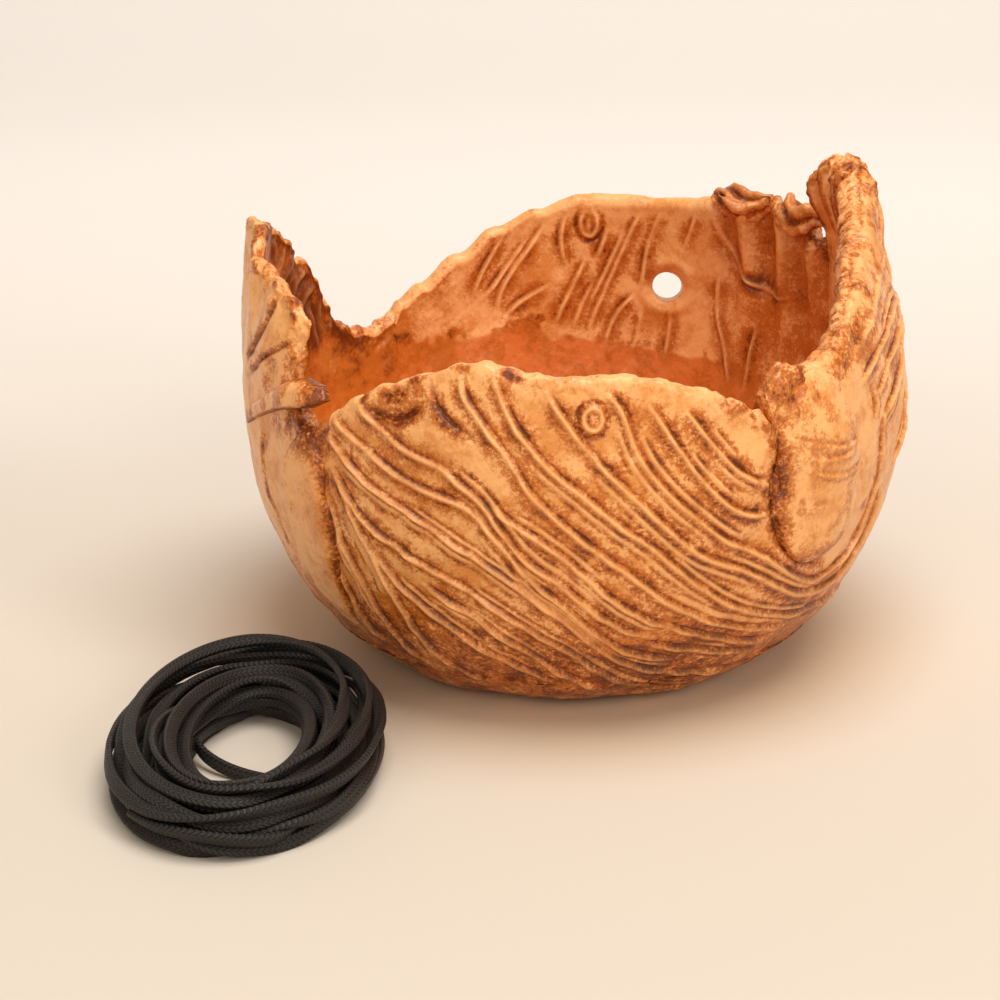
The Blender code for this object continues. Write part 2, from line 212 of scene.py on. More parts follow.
# Lines pressed into the inside of the back wall
BACK_SCRATCHES = [
    [(663, 205), (651, 231), (644, 258), (641, 291)],
    [(641, 208), (620, 255), (602, 297), (590, 327), (587, 341)],
    [(636, 294), (620, 309), (609, 327), (605, 353)], [(642, 304), (638, 336), (630, 360)],
    [(671, 307), (668, 342), (663, 365)], [(587, 255), (572, 288), (560, 312), (555, 332)],
    [(596, 279), (581, 306), (572, 335)], [(548, 219), (536, 240), (512, 273), (500, 294), (497, 327)],
    [(509, 228), (491, 258), (479, 282), (474, 300)], [(566, 210), (560, 240), (567, 270)],
    [(698, 204), (689, 234), (682, 252)], [(719, 270), (716, 315), (725, 348), (729, 392)],
    [(758, 324), (750, 354), (741, 402)], [(548, 285), (524, 300), (512, 309), (506, 322)],
    [(712, 196), (719, 234), (745, 277), (780, 300), (792, 296)], [(455, 250), (440, 275), (425, 300)],
    [(610, 222), (596, 262)], [(529, 238), (500, 280), (486, 300)], [(626, 226), (604, 276), (588, 306)],
]

# Small raised rings, like knots in wood: place in the photograph, half width and half height in pixels
FRONT_KNOT = (593, 420, 9.5, 11.5)
BACK_KNOT = (589, 221, 8.5, 13)

# How each kind of line stands out of the clay or sinks into it: a ridge with a gentle and a steep side, a
# groove beside it, how wide the stain lies round it, how dark the stain is and how pale the crest
LINE_FIELDS = ("ridge", "gentle", "steep", "groove", "at", "width", "wide", "dirt", "light")
LINE_KINDS = {
    "grain": (0.8, 0.95, 0.4, 0.5, 0.9, 0.4, 1.9, 1.0, 1.0),
    "hair": (0.24, 0.4, 0.28, 0.2, 0.6, 0.3, 0.7, 1.0, 1.0),
    "crease": (0.0, 1.0, 1.0, 0.95, 0.0, 0.6, 1.3, 1.0, 0.0),
    "scratch": (0.45, 0.5, 0.5, 0.4, -1.0, 0.55, 1.9, 0.72, 1.0),
    "knot": (0.75, 0.6, 0.6, 0.5, 1.3, 0.6, 0.8, 1.0, 1.0),
    "flap": (0.75, 8.0, 0.3, 0.6, 0.6, 0.45, 0.5, 1.0, 0.3),
    "pleat": (0.9, 1.3, 1.0, 0.6, 1.9, 0.8, 0.9, 1.0, 0.4),
    "ripple": (0.4, 1.1, 0.45, 0.3, 0.75, 0.4, 0.6, 1.0, 1.0),
}
LINE_STEP = 0.4
LINE_REACH = 5.0
LINE_START = 0.6
LINE_FADE = 5.0
LINE_END = 0.8
LINE_WOBBLE = 0.05
LINE_UNEVEN = 0.22
RIDGE_SHARPNESS = 1.5
STAIN_SPREAD = 0.1
STAIN_FLAT = 0.9
SIDE_STAIN = 0.72
FLAP_STAINS = (0.35, 1.5)
CREST_WIDTHS = (0.55, 0.4)
CREST_CLEAN = 0.85
PRESS_LIMIT = 4000000
KNOT_POINTS = 60

# Thin lines beside each ridge, and grain on the sides that the photograph doesn't show
HAIRS = 2
HAIR_STARTS = (0, 0.7)
HAIR_LENGTHS = (0.2, 0.5)
HAIR_POINTS = 8
HAIR_SPACING = (1.5, 2.6)
SWEEPS = 13
SWEEP_SPAN = (5, 150)
SWEEP_SHIFT = (-2, 2)
SWEEP_DRIFT = (34, 46)
SWEEP_RISE = (84, 100)
SWEEP_FOOT = 6
SWEEP_POWER = 1.15
SWEEP_SWAY = 3
SWEEP_BENDS = 6
SWEEP_POINTS = 30


# The wall

def smooth(share):
    share = np.clip(share, 0.0, 1.0)
    return share * share * (3 - 2 * share)


def ramp(value, start, end):
    """0 at the start and 1 at the end, with soft turns."""
    return smooth((value - start) / (end - start))


def mask(value, low, high, soft):
    """1 between two values, with soft ends."""
    return smooth((value - low) / soft + 0.5) * smooth((high - value) / soft + 0.5)


def bell(value, middle, width):
    return np.exp(-((value - middle) / width) ** 2)


def between(table, value):
    """Changes evenly from row to row of a table."""
    return np.interp(value, *zip(*table))


def unit(vectors):
    return vectors / np.maximum(np.linalg.norm(vectors, axis=-1, keepdims=True), TINY)


def angle_of(points):
    return np.degrees(np.arctan2(points[..., 1], points[..., 0]))


def full_turn(count):
    return np.linspace(0, 2 * np.pi, count, endpoint=False)


def polar(radius, turn, level):
    """Points from a radius, a turn in radians and a height."""
    return np.stack([radius * np.cos(turn), radius * np.sin(turn), level], -1)


def around(angle):
    """The same angle, counted on from the first seam."""
    return (angle - FIRST_SEAM) % 360 + FIRST_SEAM


def profile(height, lean):
    drop = np.clip((WAIST_HEIGHT - height) / WAIST_HEIGHT, 0.0, 1.0)
    reach = np.maximum(1.0 - drop ** BELLY_POWER, SMALL) ** (1 / BELLY_POWER)
    rise = np.maximum(height - WAIST_HEIGHT, 0.0)
    return FOOT_RADIUS + (BODY_RADIUS - FOOT_RADIUS) * reach - lean * rise * rise / (2 * BODY_RADIUS)


def wall_frame(angle, height):
    """Radius of the outer surface, and its normal as (radial, upward)."""
    lean = between(LEANS, around(angle))
    near = 0.02
    slope = (profile(height + near, lean) - profile(height - near, lean)) / (2 * near)
    size = np.hypot(1.0, slope)
    return profile(height, lean), 1 / size, -slope / size


def wall(angle, height, depth=0.0):
    """Points that lie depth under the outer surface."""
    radius, radial, upward = wall_frame(angle, height)
    return polar(radius - depth * radial, np.radians(angle), height - depth * upward)


def wall_normal(angle, height):
    _, radial, upward = wall_frame(angle, height)
    return polar(radial, np.radians(angle), upward)


def rim_height(rim, angle):
    """Height of a torn edge, rounded between the points where it turns."""
    angles, heights = np.array(rim, float).T
    place = np.clip(np.searchsorted(angles, angle) - 1, 0, len(angles) - 2)
    share = ramp(angle, angles[place], angles[place + 1])
    return heights[place] + (heights[place + 1] - heights[place]) * share


def make_waves(count, wavelength, spread):
    """Random directions and phases for a rolling, uneven surface."""
    way = unit(CHANCE.normal(size=(count, 3)))
    scale = 2 * np.pi / (wavelength * np.exp(CHANCE.uniform(-spread, spread, size=(count, 1))))
    return way * scale, CHANCE.uniform(0, 2 * np.pi, size=count)


def uneven(points, waves):
    """A value of about -1 to 1 that rolls over the points."""
    ways, phases = waves
    return np.sin(points @ ways.T + phases).sum(-1) / math.sqrt(len(phases))


LUMPS = make_waves(14, 30.0, 0.5)
DIMPLES = make_waves(18, 8.0, 0.5)
GRIT = make_waves(24, 2.2, 0.5)
CRUMBLE = make_waves(20, 4.2, 0.45)


# The photograph's line of sight

def sight_lines(pixels):
    pitch = math.radians(VIEW_PITCH)
    ahead = np.array([0.0, math.cos(pitch), -math.sin(pitch)])
    up = np.array([0.0, math.sin(pitch), math.cos(pitch)])
    right = np.array([1.0, 0.0, 0.0])
    x, y = (np.asarray(pixels, float) - PHOTO_SIZE / 2).T / VIEW_FOCAL
    return unit(ahead + x[:, None] * right - y[:, None] * up)


def on_wall(pixels, inside=False):
    """(angle, height) where the lines of sight meet the near outside of the wall, or its far inside."""
    points = VIEW_PLACE + sight_lines(pixels)[:, None] * SIGHT_STEPS[:, None]
    angle = angle_of(points) % 360
    surface = profile(points[..., 2], between(LEANS, around(angle))) - (WALL if inside else 0.0)
    gap = np.hypot(points[..., 0], points[..., 1]) - surface
    within = gap < 0
    found = np.argmax(within, axis=1)
    if inside:
        found = within.shape[1] - 1 - np.argmax(within[:, ::-1], axis=1)
    pick = np.where(within.any(axis=1), found, np.argmin(np.abs(gap), axis=1))
    row = np.arange(len(pick))
    return angle[row, pick], points[row, pick, 2]


def on_floor(pixels, level):
    way = sight_lines(pixels)
    return VIEW_PLACE + way * ((level - VIEW_PLACE[2]) / way[:, 2])[:, None]


# Lines in the clay

def even_line(points, step, rounding=6.0):
    """Points at an even step along a line, with its corners rounded off."""
    along = np.concatenate([[0], np.cumsum(np.linalg.norm(np.diff(points, axis=0), axis=1))])
    places = np.linspace(0, along[-1], max(int(along[-1] / step), 4))
    line = np.stack([np.interp(places, along, column) for column in points.T], -1)
    half = min(int(rounding / step), len(line) // 3) // 2
    soft = np.ones(2 * half + 1) / (2 * half + 1)
    for _ in range(2):
        before = 2 * line[:1] - line[half:0:-1]
        after = 2 * line[-1:] - line[-2:-half - 2:-1]
        padded = np.concatenate([before, line, after])
        line = np.stack([np.convolve(column, soft, "valid") for column in padded.T], -1)
    return line


def make_line(angle, height, kind, inside=False, strength=1.0, closed=False):
    """A line on the wall, ready to be pressed into a surface."""
    points = wall(np.unwrap(angle, period=360), height, WALL if inside else 0.0)
    if closed:
        along = np.roll(points, -1, axis=0) - np.roll(points, 1, axis=0)
        fade = strength
    else:
        points = even_line(points, LINE_STEP)
        along = np.gradient(points, axis=0)
        steps = np.arange(len(points)) * LINE_STEP
        fade = strength * smooth((np.minimum(steps, steps[::-1]) + LINE_START) / LINE_FADE)
    along = unit(along)
    normal = wall_normal(angle_of(points), points[:, 2]) * (-1 if inside else 1)
    fade = fade * (1 + LINE_UNEVEN * uneven(points, DIMPLES))
    return {"points": points, "along": along, "side": np.cross(normal, along), "fade": fade, "kind": kind}


def traced(lines, kind, inside=False, strength=1.0):
    return [make_line(*on_wall(line, inside), kind, inside, strength) for line in lines]


def fine_grain(lines):
    """Thin lines that run beside stretches of the main ridges."""
    made = []
    for line in lines:
        size = len(line["points"])
        for _ in range(HAIRS):
            first = int(CHANCE.uniform(*HAIR_STARTS) * size)
            last = min(first + int(CHANCE.uniform(*HAIR_LENGTHS) * size) + HAIR_POINTS, size)
            shift = CHANCE.choice([-1, 1]) * CHANCE.uniform(*HAIR_SPACING)
            points = (line["points"] + shift * line["side"])[first:last]
            made.append(make_line(angle_of(points) % 360, points[:, 2], "hair"))
    return made


def ring(knot, inside=False):
    x, y, half_width, half_height = knot
    turn = full_turn(KNOT_POINTS)
    pixels = np.stack([x + half_width * np.cos(turn), y + half_height * np.sin(turn)], -1)
    return make_line(*on_wall(pixels, inside), "knot", inside, closed=True)


def sweeping_lines():
    """Grain that climbs round the sides that the photograph doesn't show."""
    lines = []
    share = np.linspace(0, 1, SWEEP_POINTS)
    start, end = SWEEP_SPAN
    for number in range(SWEEPS):
        first = start + (end - start) * number / SWEEPS + CHANCE.uniform(*SWEEP_SHIFT)
        drift = CHANCE.uniform(*SWEEP_DRIFT)
        rise = CHANCE.uniform(*SWEEP_RISE)
        angle = first + drift * share + SWEEP_SWAY * np.sin(SWEEP_BENDS * share + number)
        lines.append(make_line(angle, SWEEP_FOOT + rise * share ** SWEEP_POWER, "grain"))
    return lines


def press(lines, grid):
    """How far lines move a grid's points along the normal, and how much stain and bare crest they hold."""
    points = grid.reshape(-1, 3)
    moved, stain, crest = np.zeros((3, len(points)))
    for line in lines:
        kind = dict(zip(LINE_FIELDS, LINE_KINDS[line["kind"]]))
        trace = line["points"]
        reach = max(LINE_REACH, kind["gentle"])
        close = np.flatnonzero(((points > trace.min(0) - reach) & (points < trace.max(0) + reach)).all(1))
        for part in np.array_split(close, len(close) * len(trace) // PRESS_LIMIT + 1):
            if not len(part):
                continue
            own = points[part]
            apart = (own ** 2).sum(1)[:, None] - 2 * own @ trace.T + (trace ** 2).sum(1)
            nearest = np.argmin(apart, axis=1)
            away = own - trace[nearest]
            across = (away * line["side"][nearest]).sum(1) + LINE_WOBBLE * uneven(own, DIMPLES)
            beyond = (away * line["along"][nearest]).sum(1)
            far = np.sqrt(np.maximum(apart.min(axis=1), 0))
            hold = line["fade"][nearest] * bell(beyond, 0, LINE_END) * (far < reach)
            left = across < 0
            width = np.where(left, kind["gentle"], kind["steep"])
            ridge = np.exp(-np.abs(across / width) ** RIDGE_SHARPNESS)
            beside = np.maximum(np.abs(across) - STAIN_FLAT, 0) / kind["wide"]
            pooled = bell(across, kind["at"], kind["width"] + STAIN_SPREAD)
            shade = np.maximum(pooled, SIDE_STAIN * np.exp(-beside ** RIDGE_SHARPNESS))
            if line["kind"] == "flap":
                ridge = np.where(left, np.clip(1 + across / kind["gentle"], 0, 1), ridge)
                shade = shade * np.where(left, *FLAP_STAINS)
            groove = bell(across, kind["at"], kind["width"])
            moved[part] += hold * (kind["ridge"] * ridge - kind["groove"] * groove)
            stain[part] = np.maximum(stain[part], hold * shade * kind["dirt"])
            top = bell(across, 0, np.where(left, *CREST_WIDTHS))
            crest[part] = np.maximum(crest[part], hold * top * kind["light"])
    stain = stain * (1 - CREST_CLEAN * crest)
    return [value.reshape(grid.shape[:-1]) for value in (moved, stain, crest)]


# Clay surfaces

# Unevenness of clay that was pressed by hand, and how mottled its stain is
LUMP_SIZE = 0.45
DIMPLE_SIZE = 0.12
GRIT_SIZE = 0.035
MOTTLE_SIZE = 0.6
MOTTLE_LEVEL = 0.35

# The grid of a slab: rows over its lip, spare rows, how far slabs lap over each other, the share of the
# height from which the inside thickens, and how many thicknesses under the edge the lip's looks begin
LIP_ROWS = 15
ROW_SPARE = 1.12
SEAM_LAP = 0.12
LIP_START = 0.62
LIP_BAND = 1.5
RAGGED_LENGTHS = [31.0, 17.0, 9.7, 6.1]
CRUMBLE_SIZES = (0.6, 0.5)
CRUMBLE_DIRT = 0.8

# Where the wall swings out: how far, between which angles and how softly, over which heights it grows, and
# its wave, as turns with the angle, turns with the height and a phase
PLEATS = {"size": 1.9, "angles": (388, 418, 8), "heights": (50, 80), "wave": (40, 0, 60)}
FAN_RIBS = {"size": 0.75, "angles": (370, 389, 6), "heights": (80, 94), "wave": (125, 0, 0)}
SWINGS = [
    PLEATS,
    FAN_RIBS,
    {"size": 0.8, "angles": (500, 568, 12), "heights": (64, 90), "wave": (26, 1.5, 0)},
    {"size": -0.5, "angles": (515, 580, 14), "heights": (72, 92)},
    {"size": 1.2, "angles": (316, 352, 20), "heights": (66, 82)},
    {"size": 2.4, "angles": (352, 384, 14), "heights": (72, 94)},
]
NO_WAVE = (0, 0, 90)
TIP_CURL = {"size": 4.7, "angles": (378, 387), "end": 389, "heights": (83, 99)}
# The fan ribs' hollows take painted shade and their tops painted light
RIB_HOLLOW = (0.45, 0.9)
RIB_PAINTED_SHADE = 1.1
RIB_PAINTED_LIGHT = 0.6

# The torn end of the left slab
TORN_REACH = 4.5
TORN_SWING = 0.5
TORN_HEIGHTS = (62, 67)
TORN_THIN = 0.9
TORN_FINE = 0.4

# The hole through the back slab: the collar round it and its worn edge as (size, radius, width)
HOLE_RADIUS = 3.6
HOLE_ANGLE = 69.5
HOLE_HEIGHT = 63.0
HOLE_TILT = 5.0
HOLE_SIDES = 48
HOLE_REACH = 15.0
HOLE_FORMS = [(0.7, 6.2, 1.5), (-0.9, HOLE_RADIUS, 0.9)]

# Cracks across the right slab's rolled edge, and furrows along it
CRACK_COUNT = 100
CRACK_SPAN = (303, 386)
CRACK_SLANTS = (-0.6, 0.6)
CRACK_SIZES = (0.2, 0.5)
CRACK_WIDTHS = (0.22, 0.36)
CRACK_BAND = 1.25
CRACK_SOFT = 3
CRACK_INNER = (0.25, 0.5)
CRACK_BEND = 0.5
CRACK_BENDS = 7
CRACK_OUTSIDE = 0.3
CRACK_DIRT = 1.5
CRACK_DARKEST = 0.9
FURROWS = 2.4
FURROW_SIZE = 0.35
FURROW_DRIFT = 0.05
FURROW_LOSS = 0.6
FURROW_DIRT = 0.55

# Lumps on the wall: place in the photograph, half width, half height and height in millimetres
KNUCKLES = [
    (783, 392, 2.6, 7.0, 1.5), (803, 388, 2.2, 5.0, 1.1), (769, 420, 2.4, 4.0, 1.0),
    (770, 446, 2.2, 3.5, 0.8), (822, 384, 2.6, 6.0, 0.9), (776, 372, 2.0, 3.0, 0.8),
]

# Dark spots of glaze, and painted shadow under the left strap and along the right pad's left edge: place in
# the photograph, radius in millimetres, strength
DARK_SPOTS = [
    (413, 380, 1.7, 1.0), (424, 374, 1.4, 0.9), (461, 364, 1.7, 1.0), (450, 366, 1.2, 0.8),
    (510, 373, 1.8, 1.0), (519, 378, 1.3, 0.8), (365, 400, 1.5, 0.9), (398, 415, 2.2, 0.8),
    (420, 392, 1.6, 0.8), (790, 400, 2.4, 0.8), (776, 396, 1.8, 0.8), (768, 492, 1.6, 1.0),
    (800, 392, 1.8, 0.7), (785, 440, 1.6, 0.8), (790, 470, 1.5, 0.8), (784, 384, 2.2, 0.8),
    (776, 424, 2.2, 0.8), (786, 425, 1.8, 0.7), (774, 446, 2.0, 0.9), (790, 455, 1.6, 0.7),
    (776, 520, 2.0, 1.0), (786, 540, 1.8, 0.8), (800, 552, 1.6, 0.7), (862, 505, 1.6, 0.6),
    (826, 378, 1.2, 0.8), (832, 350, 1.4, 0.8), (846, 330, 1.6, 0.6), (848, 196, 1.8, 0.9),
    (866, 210, 1.8, 0.9), (868, 190, 1.6, 0.8), (846, 225, 1.6, 0.8), (872, 222, 1.4, 0.9),
    (842, 270, 1.8, 0.8), (846, 250, 1.6, 0.6), (290, 424, 3.2, 1.0), (303, 423, 3.2, 1.0),
    (314, 424, 3.0, 1.0), (320, 408, 2.4, 1.0), (324, 436, 2.6, 0.9), (275, 424, 2.8, 0.9),
    (318, 450, 2.0, 0.8), (316, 480, 2.2, 0.8), (314, 510, 2.0, 0.8), (322, 540, 2.0, 0.8),
    (332, 570, 2.0, 0.7), (264, 326, 2.0, 1.0), (255, 346, 1.8, 0.9), (272, 362, 2.4, 0.6),
    (286, 366, 2.2, 0.6), (266, 384, 2.4, 0.6), (284, 380, 1.6, 0.7), (249, 270, 1.6, 0.8),
    (252, 256, 1.4, 0.8),
]

# By angle: painted shade and darker stain inside, how calm the speckle is there, dirt on the rim and the red
# glaze's upper edge
INSIDE_DARK = [
    (226, 0.35), (350, 0.3), (366, 0.1), (384, 0.1), (388, 0.3), (400, 0.1), (418, 0.04), (470, 0.12),
    (487, 0.4), (497, 0.75), (530, 0.7), (545, 0.6), (575, 0.35),
]
INSIDE_CALM = [
    (226, 0.5), (380, 0.4), (390, 0.6), (418, 0.5), (470, 0.5), (490, 0.9), (575, 0.9), (586, 0.5),
]
RIM_DIRT = [
    (226, 0.15), (290, 0.1), (296, 0.5), (310, 0.55), (325, 0.5), (360, 0.55), (388, 0.7), (410, 0.5),
    (420, 0.1), (486, 0.15), (500, 0.6), (586, 0.7),
]
RED_LEVELS = [
    (226, 46), (388, 44), (418, 44.5), (440, 48), (455, 51), (475, 51.5), (487, 50), (510, 47), (586, 46),
]
RED_DIRT = 0.26
RED_SOFT = 1.8
RED_WAVES = (1.3, 0.9, 0.6)
RED_EDGE = (-0.6, 1.1)
RED_EDGE_DIRT = 0.45

# Heights over which stains grow and crests fade. Low on the outside, the darkening and the fading crests are
# painted shade, and the gathered and tucked slabs' darkening is painted shade too
DARK_RISE = (30, 60)
INSIDE_RISE = (34, 50)
LOW_FALL = (38, 10)
LOW_PAINTED_SHADE = 0.72
LOW_KEPT = 0.75
CREST_FALL = (36, 12)
CREST_LOSS = 0.6
GATHER_FADE = 7
GATHER_SHADE = (0.7, 0.6)

# The base: shares of the foot's radius, the foot's edge, rows up its outside, and how it laps into the wall,
# as (height above its edge, depth) outside and (height above its edge, how far past the wall) inside
FOOT_SHARES = (0.0005, 0.4, 0.7, 0.9, 0.97)
FOOT_EDGE = (0.995, 0.12)
BASE_ROWS = 30
BASE_START = 0.6
BASE_POWER = 1.6
BASE_OUTER_LAP = [(0.6, 0.3), (2.5, 0.8)]
BASE_LAP = [(4.5, -0.6), (3.6, -0.35), (2.8, -0.12), (2.0, 0.05), (1.2, 0.17), (0.5, 0.26), (0.0, 0.3)]
BASE_COLUMNS = 560
BASE_FADE = (0.1, 2.1)
# The base's outside is stained by its lines and evenly darkened with the same painted shade as the bottom of
# the wall, and its crests are dimmed with it
BASE_STAIN_AND_SHADE = (0.75, 0.7)
BASE_LIGHT = 0.5
BASE_CALM = 0.5
FLOOR_RINGS = 84
FLOOR_POWER = 6
FLOOR_LEVEL = (0.9, 0.5)


def clay_bumps(points, grit=GRIT_SIZE):
    sizes = ((LUMP_SIZE, LUMPS), (DIMPLE_SIZE, DIMPLES), (grit, GRIT))
    return sum(size * uneven(points, waves) for size, waves in sizes)


def mottle(points, level):
    return smooth(level + MOTTLE_SIZE * (uneven(points, DIMPLES) + uneven(points, CRUMBLE)))


def ragged(angle, size):
    """Small steps and nicks along a torn edge."""
    along = np.radians(angle) * BODY_RADIUS
    waves = [np.sin(along * 2 * np.pi / length + number) for number, length in enumerate(RAGGED_LENGTHS)]
    return size * sum(waves) / len(waves)


def swing_out(swing, angle, height):
    turns, tilt, phase = swing.get("wave", NO_WAVE)
    wave = np.sin(np.radians(turns * angle + tilt * height + phase))
    return swing["size"] * mask(angle, *swing["angles"]) * ramp(height, *swing["heights"]) * wave


def sway(angle, height):
    """How far the wall swings out where the clay is ruffled or pleated."""
    angle = around(angle)
    curl = TIP_CURL["size"] * ramp(angle, *TIP_CURL["angles"]) * ramp(height, *TIP_CURL["heights"])
    return sum(swing_out(swing, angle, height) for swing in SWINGS) - curl * (angle < TIP_CURL["end"])


def hole_distance(points):
    tilt = math.radians(HOLE_TILT)
    way = np.array([0.0, math.cos(tilt), -math.sin(tilt)])
    away = points - wall(HOLE_ANGLE, HOLE_HEIGHT, WALL / 2)
    return np.linalg.norm(away - (away @ way)[..., None] * way, axis=-1)


def grid_normals(points):
    """Outward normals of a grid whose rows close on themselves."""
    along = np.roll(points, -1, axis=0) - np.roll(points, 1, axis=0)
    return unit(np.cross(np.gradient(points, axis=1), along))


def end_faces(rows, points, top, flip):
    """Triangles that close one end of a wall, between its outer and its inner edge."""
    outer = list(rows[:top + 1])
    inner = list(rows[:top - 1:-1])
    levels = dict(zip(rows.tolist(), points[:, 2]))
    faces = []
    while len(outer) > 1 or len(inner) > 1:
        climb = len(inner) == 1 or (len(outer) > 1 and levels[outer[1]] <= levels[inner[1]])
        ahead = outer if climb else inner
        face = [int(outer[0]), int(inner[0]), int(ahead[1])]
        if len(set(face)) == 3:
            faces.append(face[::-1] if flip else face)
        ahead.pop(0)
    return faces


def add_object(name, data):
    item = bpy.data.objects.new(name, data)
    bpy.context.scene.collection.objects.link(item)
    return item


def add_mesh(name, points, smooth_faces, flat_faces):
    """A new object from points in millimetres."""
    mesh = bpy.data.meshes.new(name)
    mesh.from_pydata((points.reshape(-1, 3) * MM).tolist(), [], smooth_faces + flat_faces)
    mesh.polygons.foreach_set("use_smooth", [True] * len(smooth_faces) + [False] * len(flat_faces))
    return add_object(name, mesh)


def clay_object(name, points, colours, node, closed=False, normals=None, top=None):
    """A piece from a grid with closed rows, whose ends are joined, capped or closed up to a top row."""
    index = np.arange(points[..., 0].size).reshape(points.shape[:2])
    if closed:
        index = np.concatenate([index, index[:, :1]], axis=1)
    above = np.roll(index, -1, axis=0)
    quads = np.stack([index[:, :-1], index[:, 1:], above[:, 1:], above[:, :-1]], -1).reshape(-1, 4)
    caps = [] if closed else [index[:, 0].tolist(), index[::-1, -1].tolist()]
    if top is not None:
        caps = end_faces(index[:, 0], points[:, 0], top, True)
        caps += end_faces(index[:, -1], points[:, -1], top, False)
    piece = add_mesh(name, points, quads.tolist(), caps)
    if normals is not None:
        first, second, third = points.reshape(-1, 3)[np.array(caps)].transpose(1, 0, 2)
        facing = unit(np.cross(second - first, third - first))
        corners = np.concatenate([normals.reshape(-1, 3)[quads.ravel()], np.repeat(facing, 3, axis=0)])
        piece.data.normals_split_custom_set(corners.tolist())
    paint = piece.data.attributes.new("clay", "FLOAT_COLOR", "POINT")
    paint.data.foreach_set("color", colours.reshape(-1, 4).astype(np.float32).ravel())
    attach(piece, "bowl")
    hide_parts(node)
    return piece


def slab_grid(rim, edge, steps, rag):
    """A slab's columns run round the bowl, and its rows up the outside, over the lip and down the inside."""
    start, end = rim[0][0], rim[-1][0]
    columns = int(math.radians(end - start) * BODY_RADIUS / min(steps)) + 2
    spare = (end - start) / columns + SEAM_LAP
    angle = np.linspace(start - spare, end + spare, columns + 3)
    thick = between(edge, angle)
    half = thick / 2
    top = rim_height(rim, angle) + ragged(angle, rag)
    tall = top.max() * ROW_SPARE
    up = np.linspace(0, 1, int(tall / steps[0]))[:, None]
    over = np.linspace(0, np.pi, LIP_ROWS + 2)[1:-1, None]
    down = np.linspace(1, 0, int(tall / steps[1]))[:, None]
    shoulder = top - half - BASE_TOP
    height = np.concatenate([
        BASE_TOP + shoulder * up, top - half + half * np.sin(over), BASE_TOP + shoulder * down])
    deep = WALL + (thick - WALL) * ramp(down, LIP_START, 1)
    depth = np.concatenate([0 * up * top, half * (1 - np.cos(over)), deep])
    return SimpleNamespace(
        angle=angle, end=end, thick=thick, top=top, height=height, depth=depth,
        turns=np.broadcast_to(angle, height.shape), torn=np.zeros(height.shape),
        climb=slice(0, len(up)), outer=slice(0, len(up) + LIP_ROWS), inner=slice(len(up) + LIP_ROWS, None))


def tear_end(grid):
    """Thins and frays the last stretch of a slab."""
    torn = ramp(grid.turns, grid.end - TORN_REACH, grid.end)
    grid.torn = np.minimum(torn, ramp(grid.height, *TORN_HEIGHTS))
    grid.depth = WALL / 2 + (grid.depth - WALL / 2) * np.sqrt(1 - TORN_THIN * grid.torn ** 2)
    upright = np.stack([0 * grid.height, 0 * grid.height, grid.height], -1)
    fray = uneven(upright, DIMPLES) + TORN_FINE * uneven(upright, CRUMBLE)
    grid.turns = grid.turns + grid.torn * TORN_SWING * fray


def edge_cracks(grid):
    """Short cracks across the inner half of the right wall's rolled edge, and ridges along its outer half."""
    along = np.radians(grid.turns) * BODY_RADIUS
    under = grid.height - grid.top
    band = smooth((under + grid.thick * CRACK_BAND) / CRACK_SOFT)
    share = np.clip(grid.depth / grid.thick, 0, 1)
    inner = ramp(share, *CRACK_INNER)
    crack = np.zeros(under.shape)
    for number in range(CRACK_COUNT):
        place = CHANCE.uniform(*np.radians(CRACK_SPAN)) * BODY_RADIUS
        slant = CHANCE.uniform(*CRACK_SLANTS) * under + CRACK_BEND * np.sin(CRACK_BENDS * share + number)
        size = CHANCE.uniform(*CRACK_SIZES)
        crack = np.maximum(crack, size * bell(along, place + slant, CHANCE.uniform(*CRACK_WIDTHS)))
    crack = crack * (CRACK_OUTSIDE + (1 - CRACK_OUTSIDE) * inner)
    furrow = np.sin(2 * np.pi * FURROWS * share + FURROW_DRIFT * along) * (1 - FURROW_LOSS * inner)
    dirt = np.maximum(np.clip(crack * CRACK_DIRT, 0, CRACK_DARKEST), FURROW_DIRT * smooth(furrow))
    return (crack + FURROW_SIZE * furrow) * band, dirt * band


def knuckles(points):
    """Rounded lumps where clay was pinched on from outside."""
    raised = np.zeros(points.shape[:-1])
    for x, y, wide, tall, height in KNUCKLES:
        away = points - wall(*on_wall([(x, y)]))[0]
        flat = np.linalg.norm(away[..., :2], axis=-1)
        raised = np.maximum(raised, height * bell(flat, 0, wide) * bell(away[..., 2], 0, tall))
    return raised


# Dark glaze spots, and painted shadow under the strap and beside the right pad
def dark_spots(points):
    stain = np.zeros(points.shape[:-1])
    for x, y, size, strength in DARK_SPOTS:
        place = wall(*on_wall([(x, y)]))[0]
        stain = np.maximum(stain, strength * np.exp(-((points - place) ** 2).sum(-1) / size ** 2))
    return stain


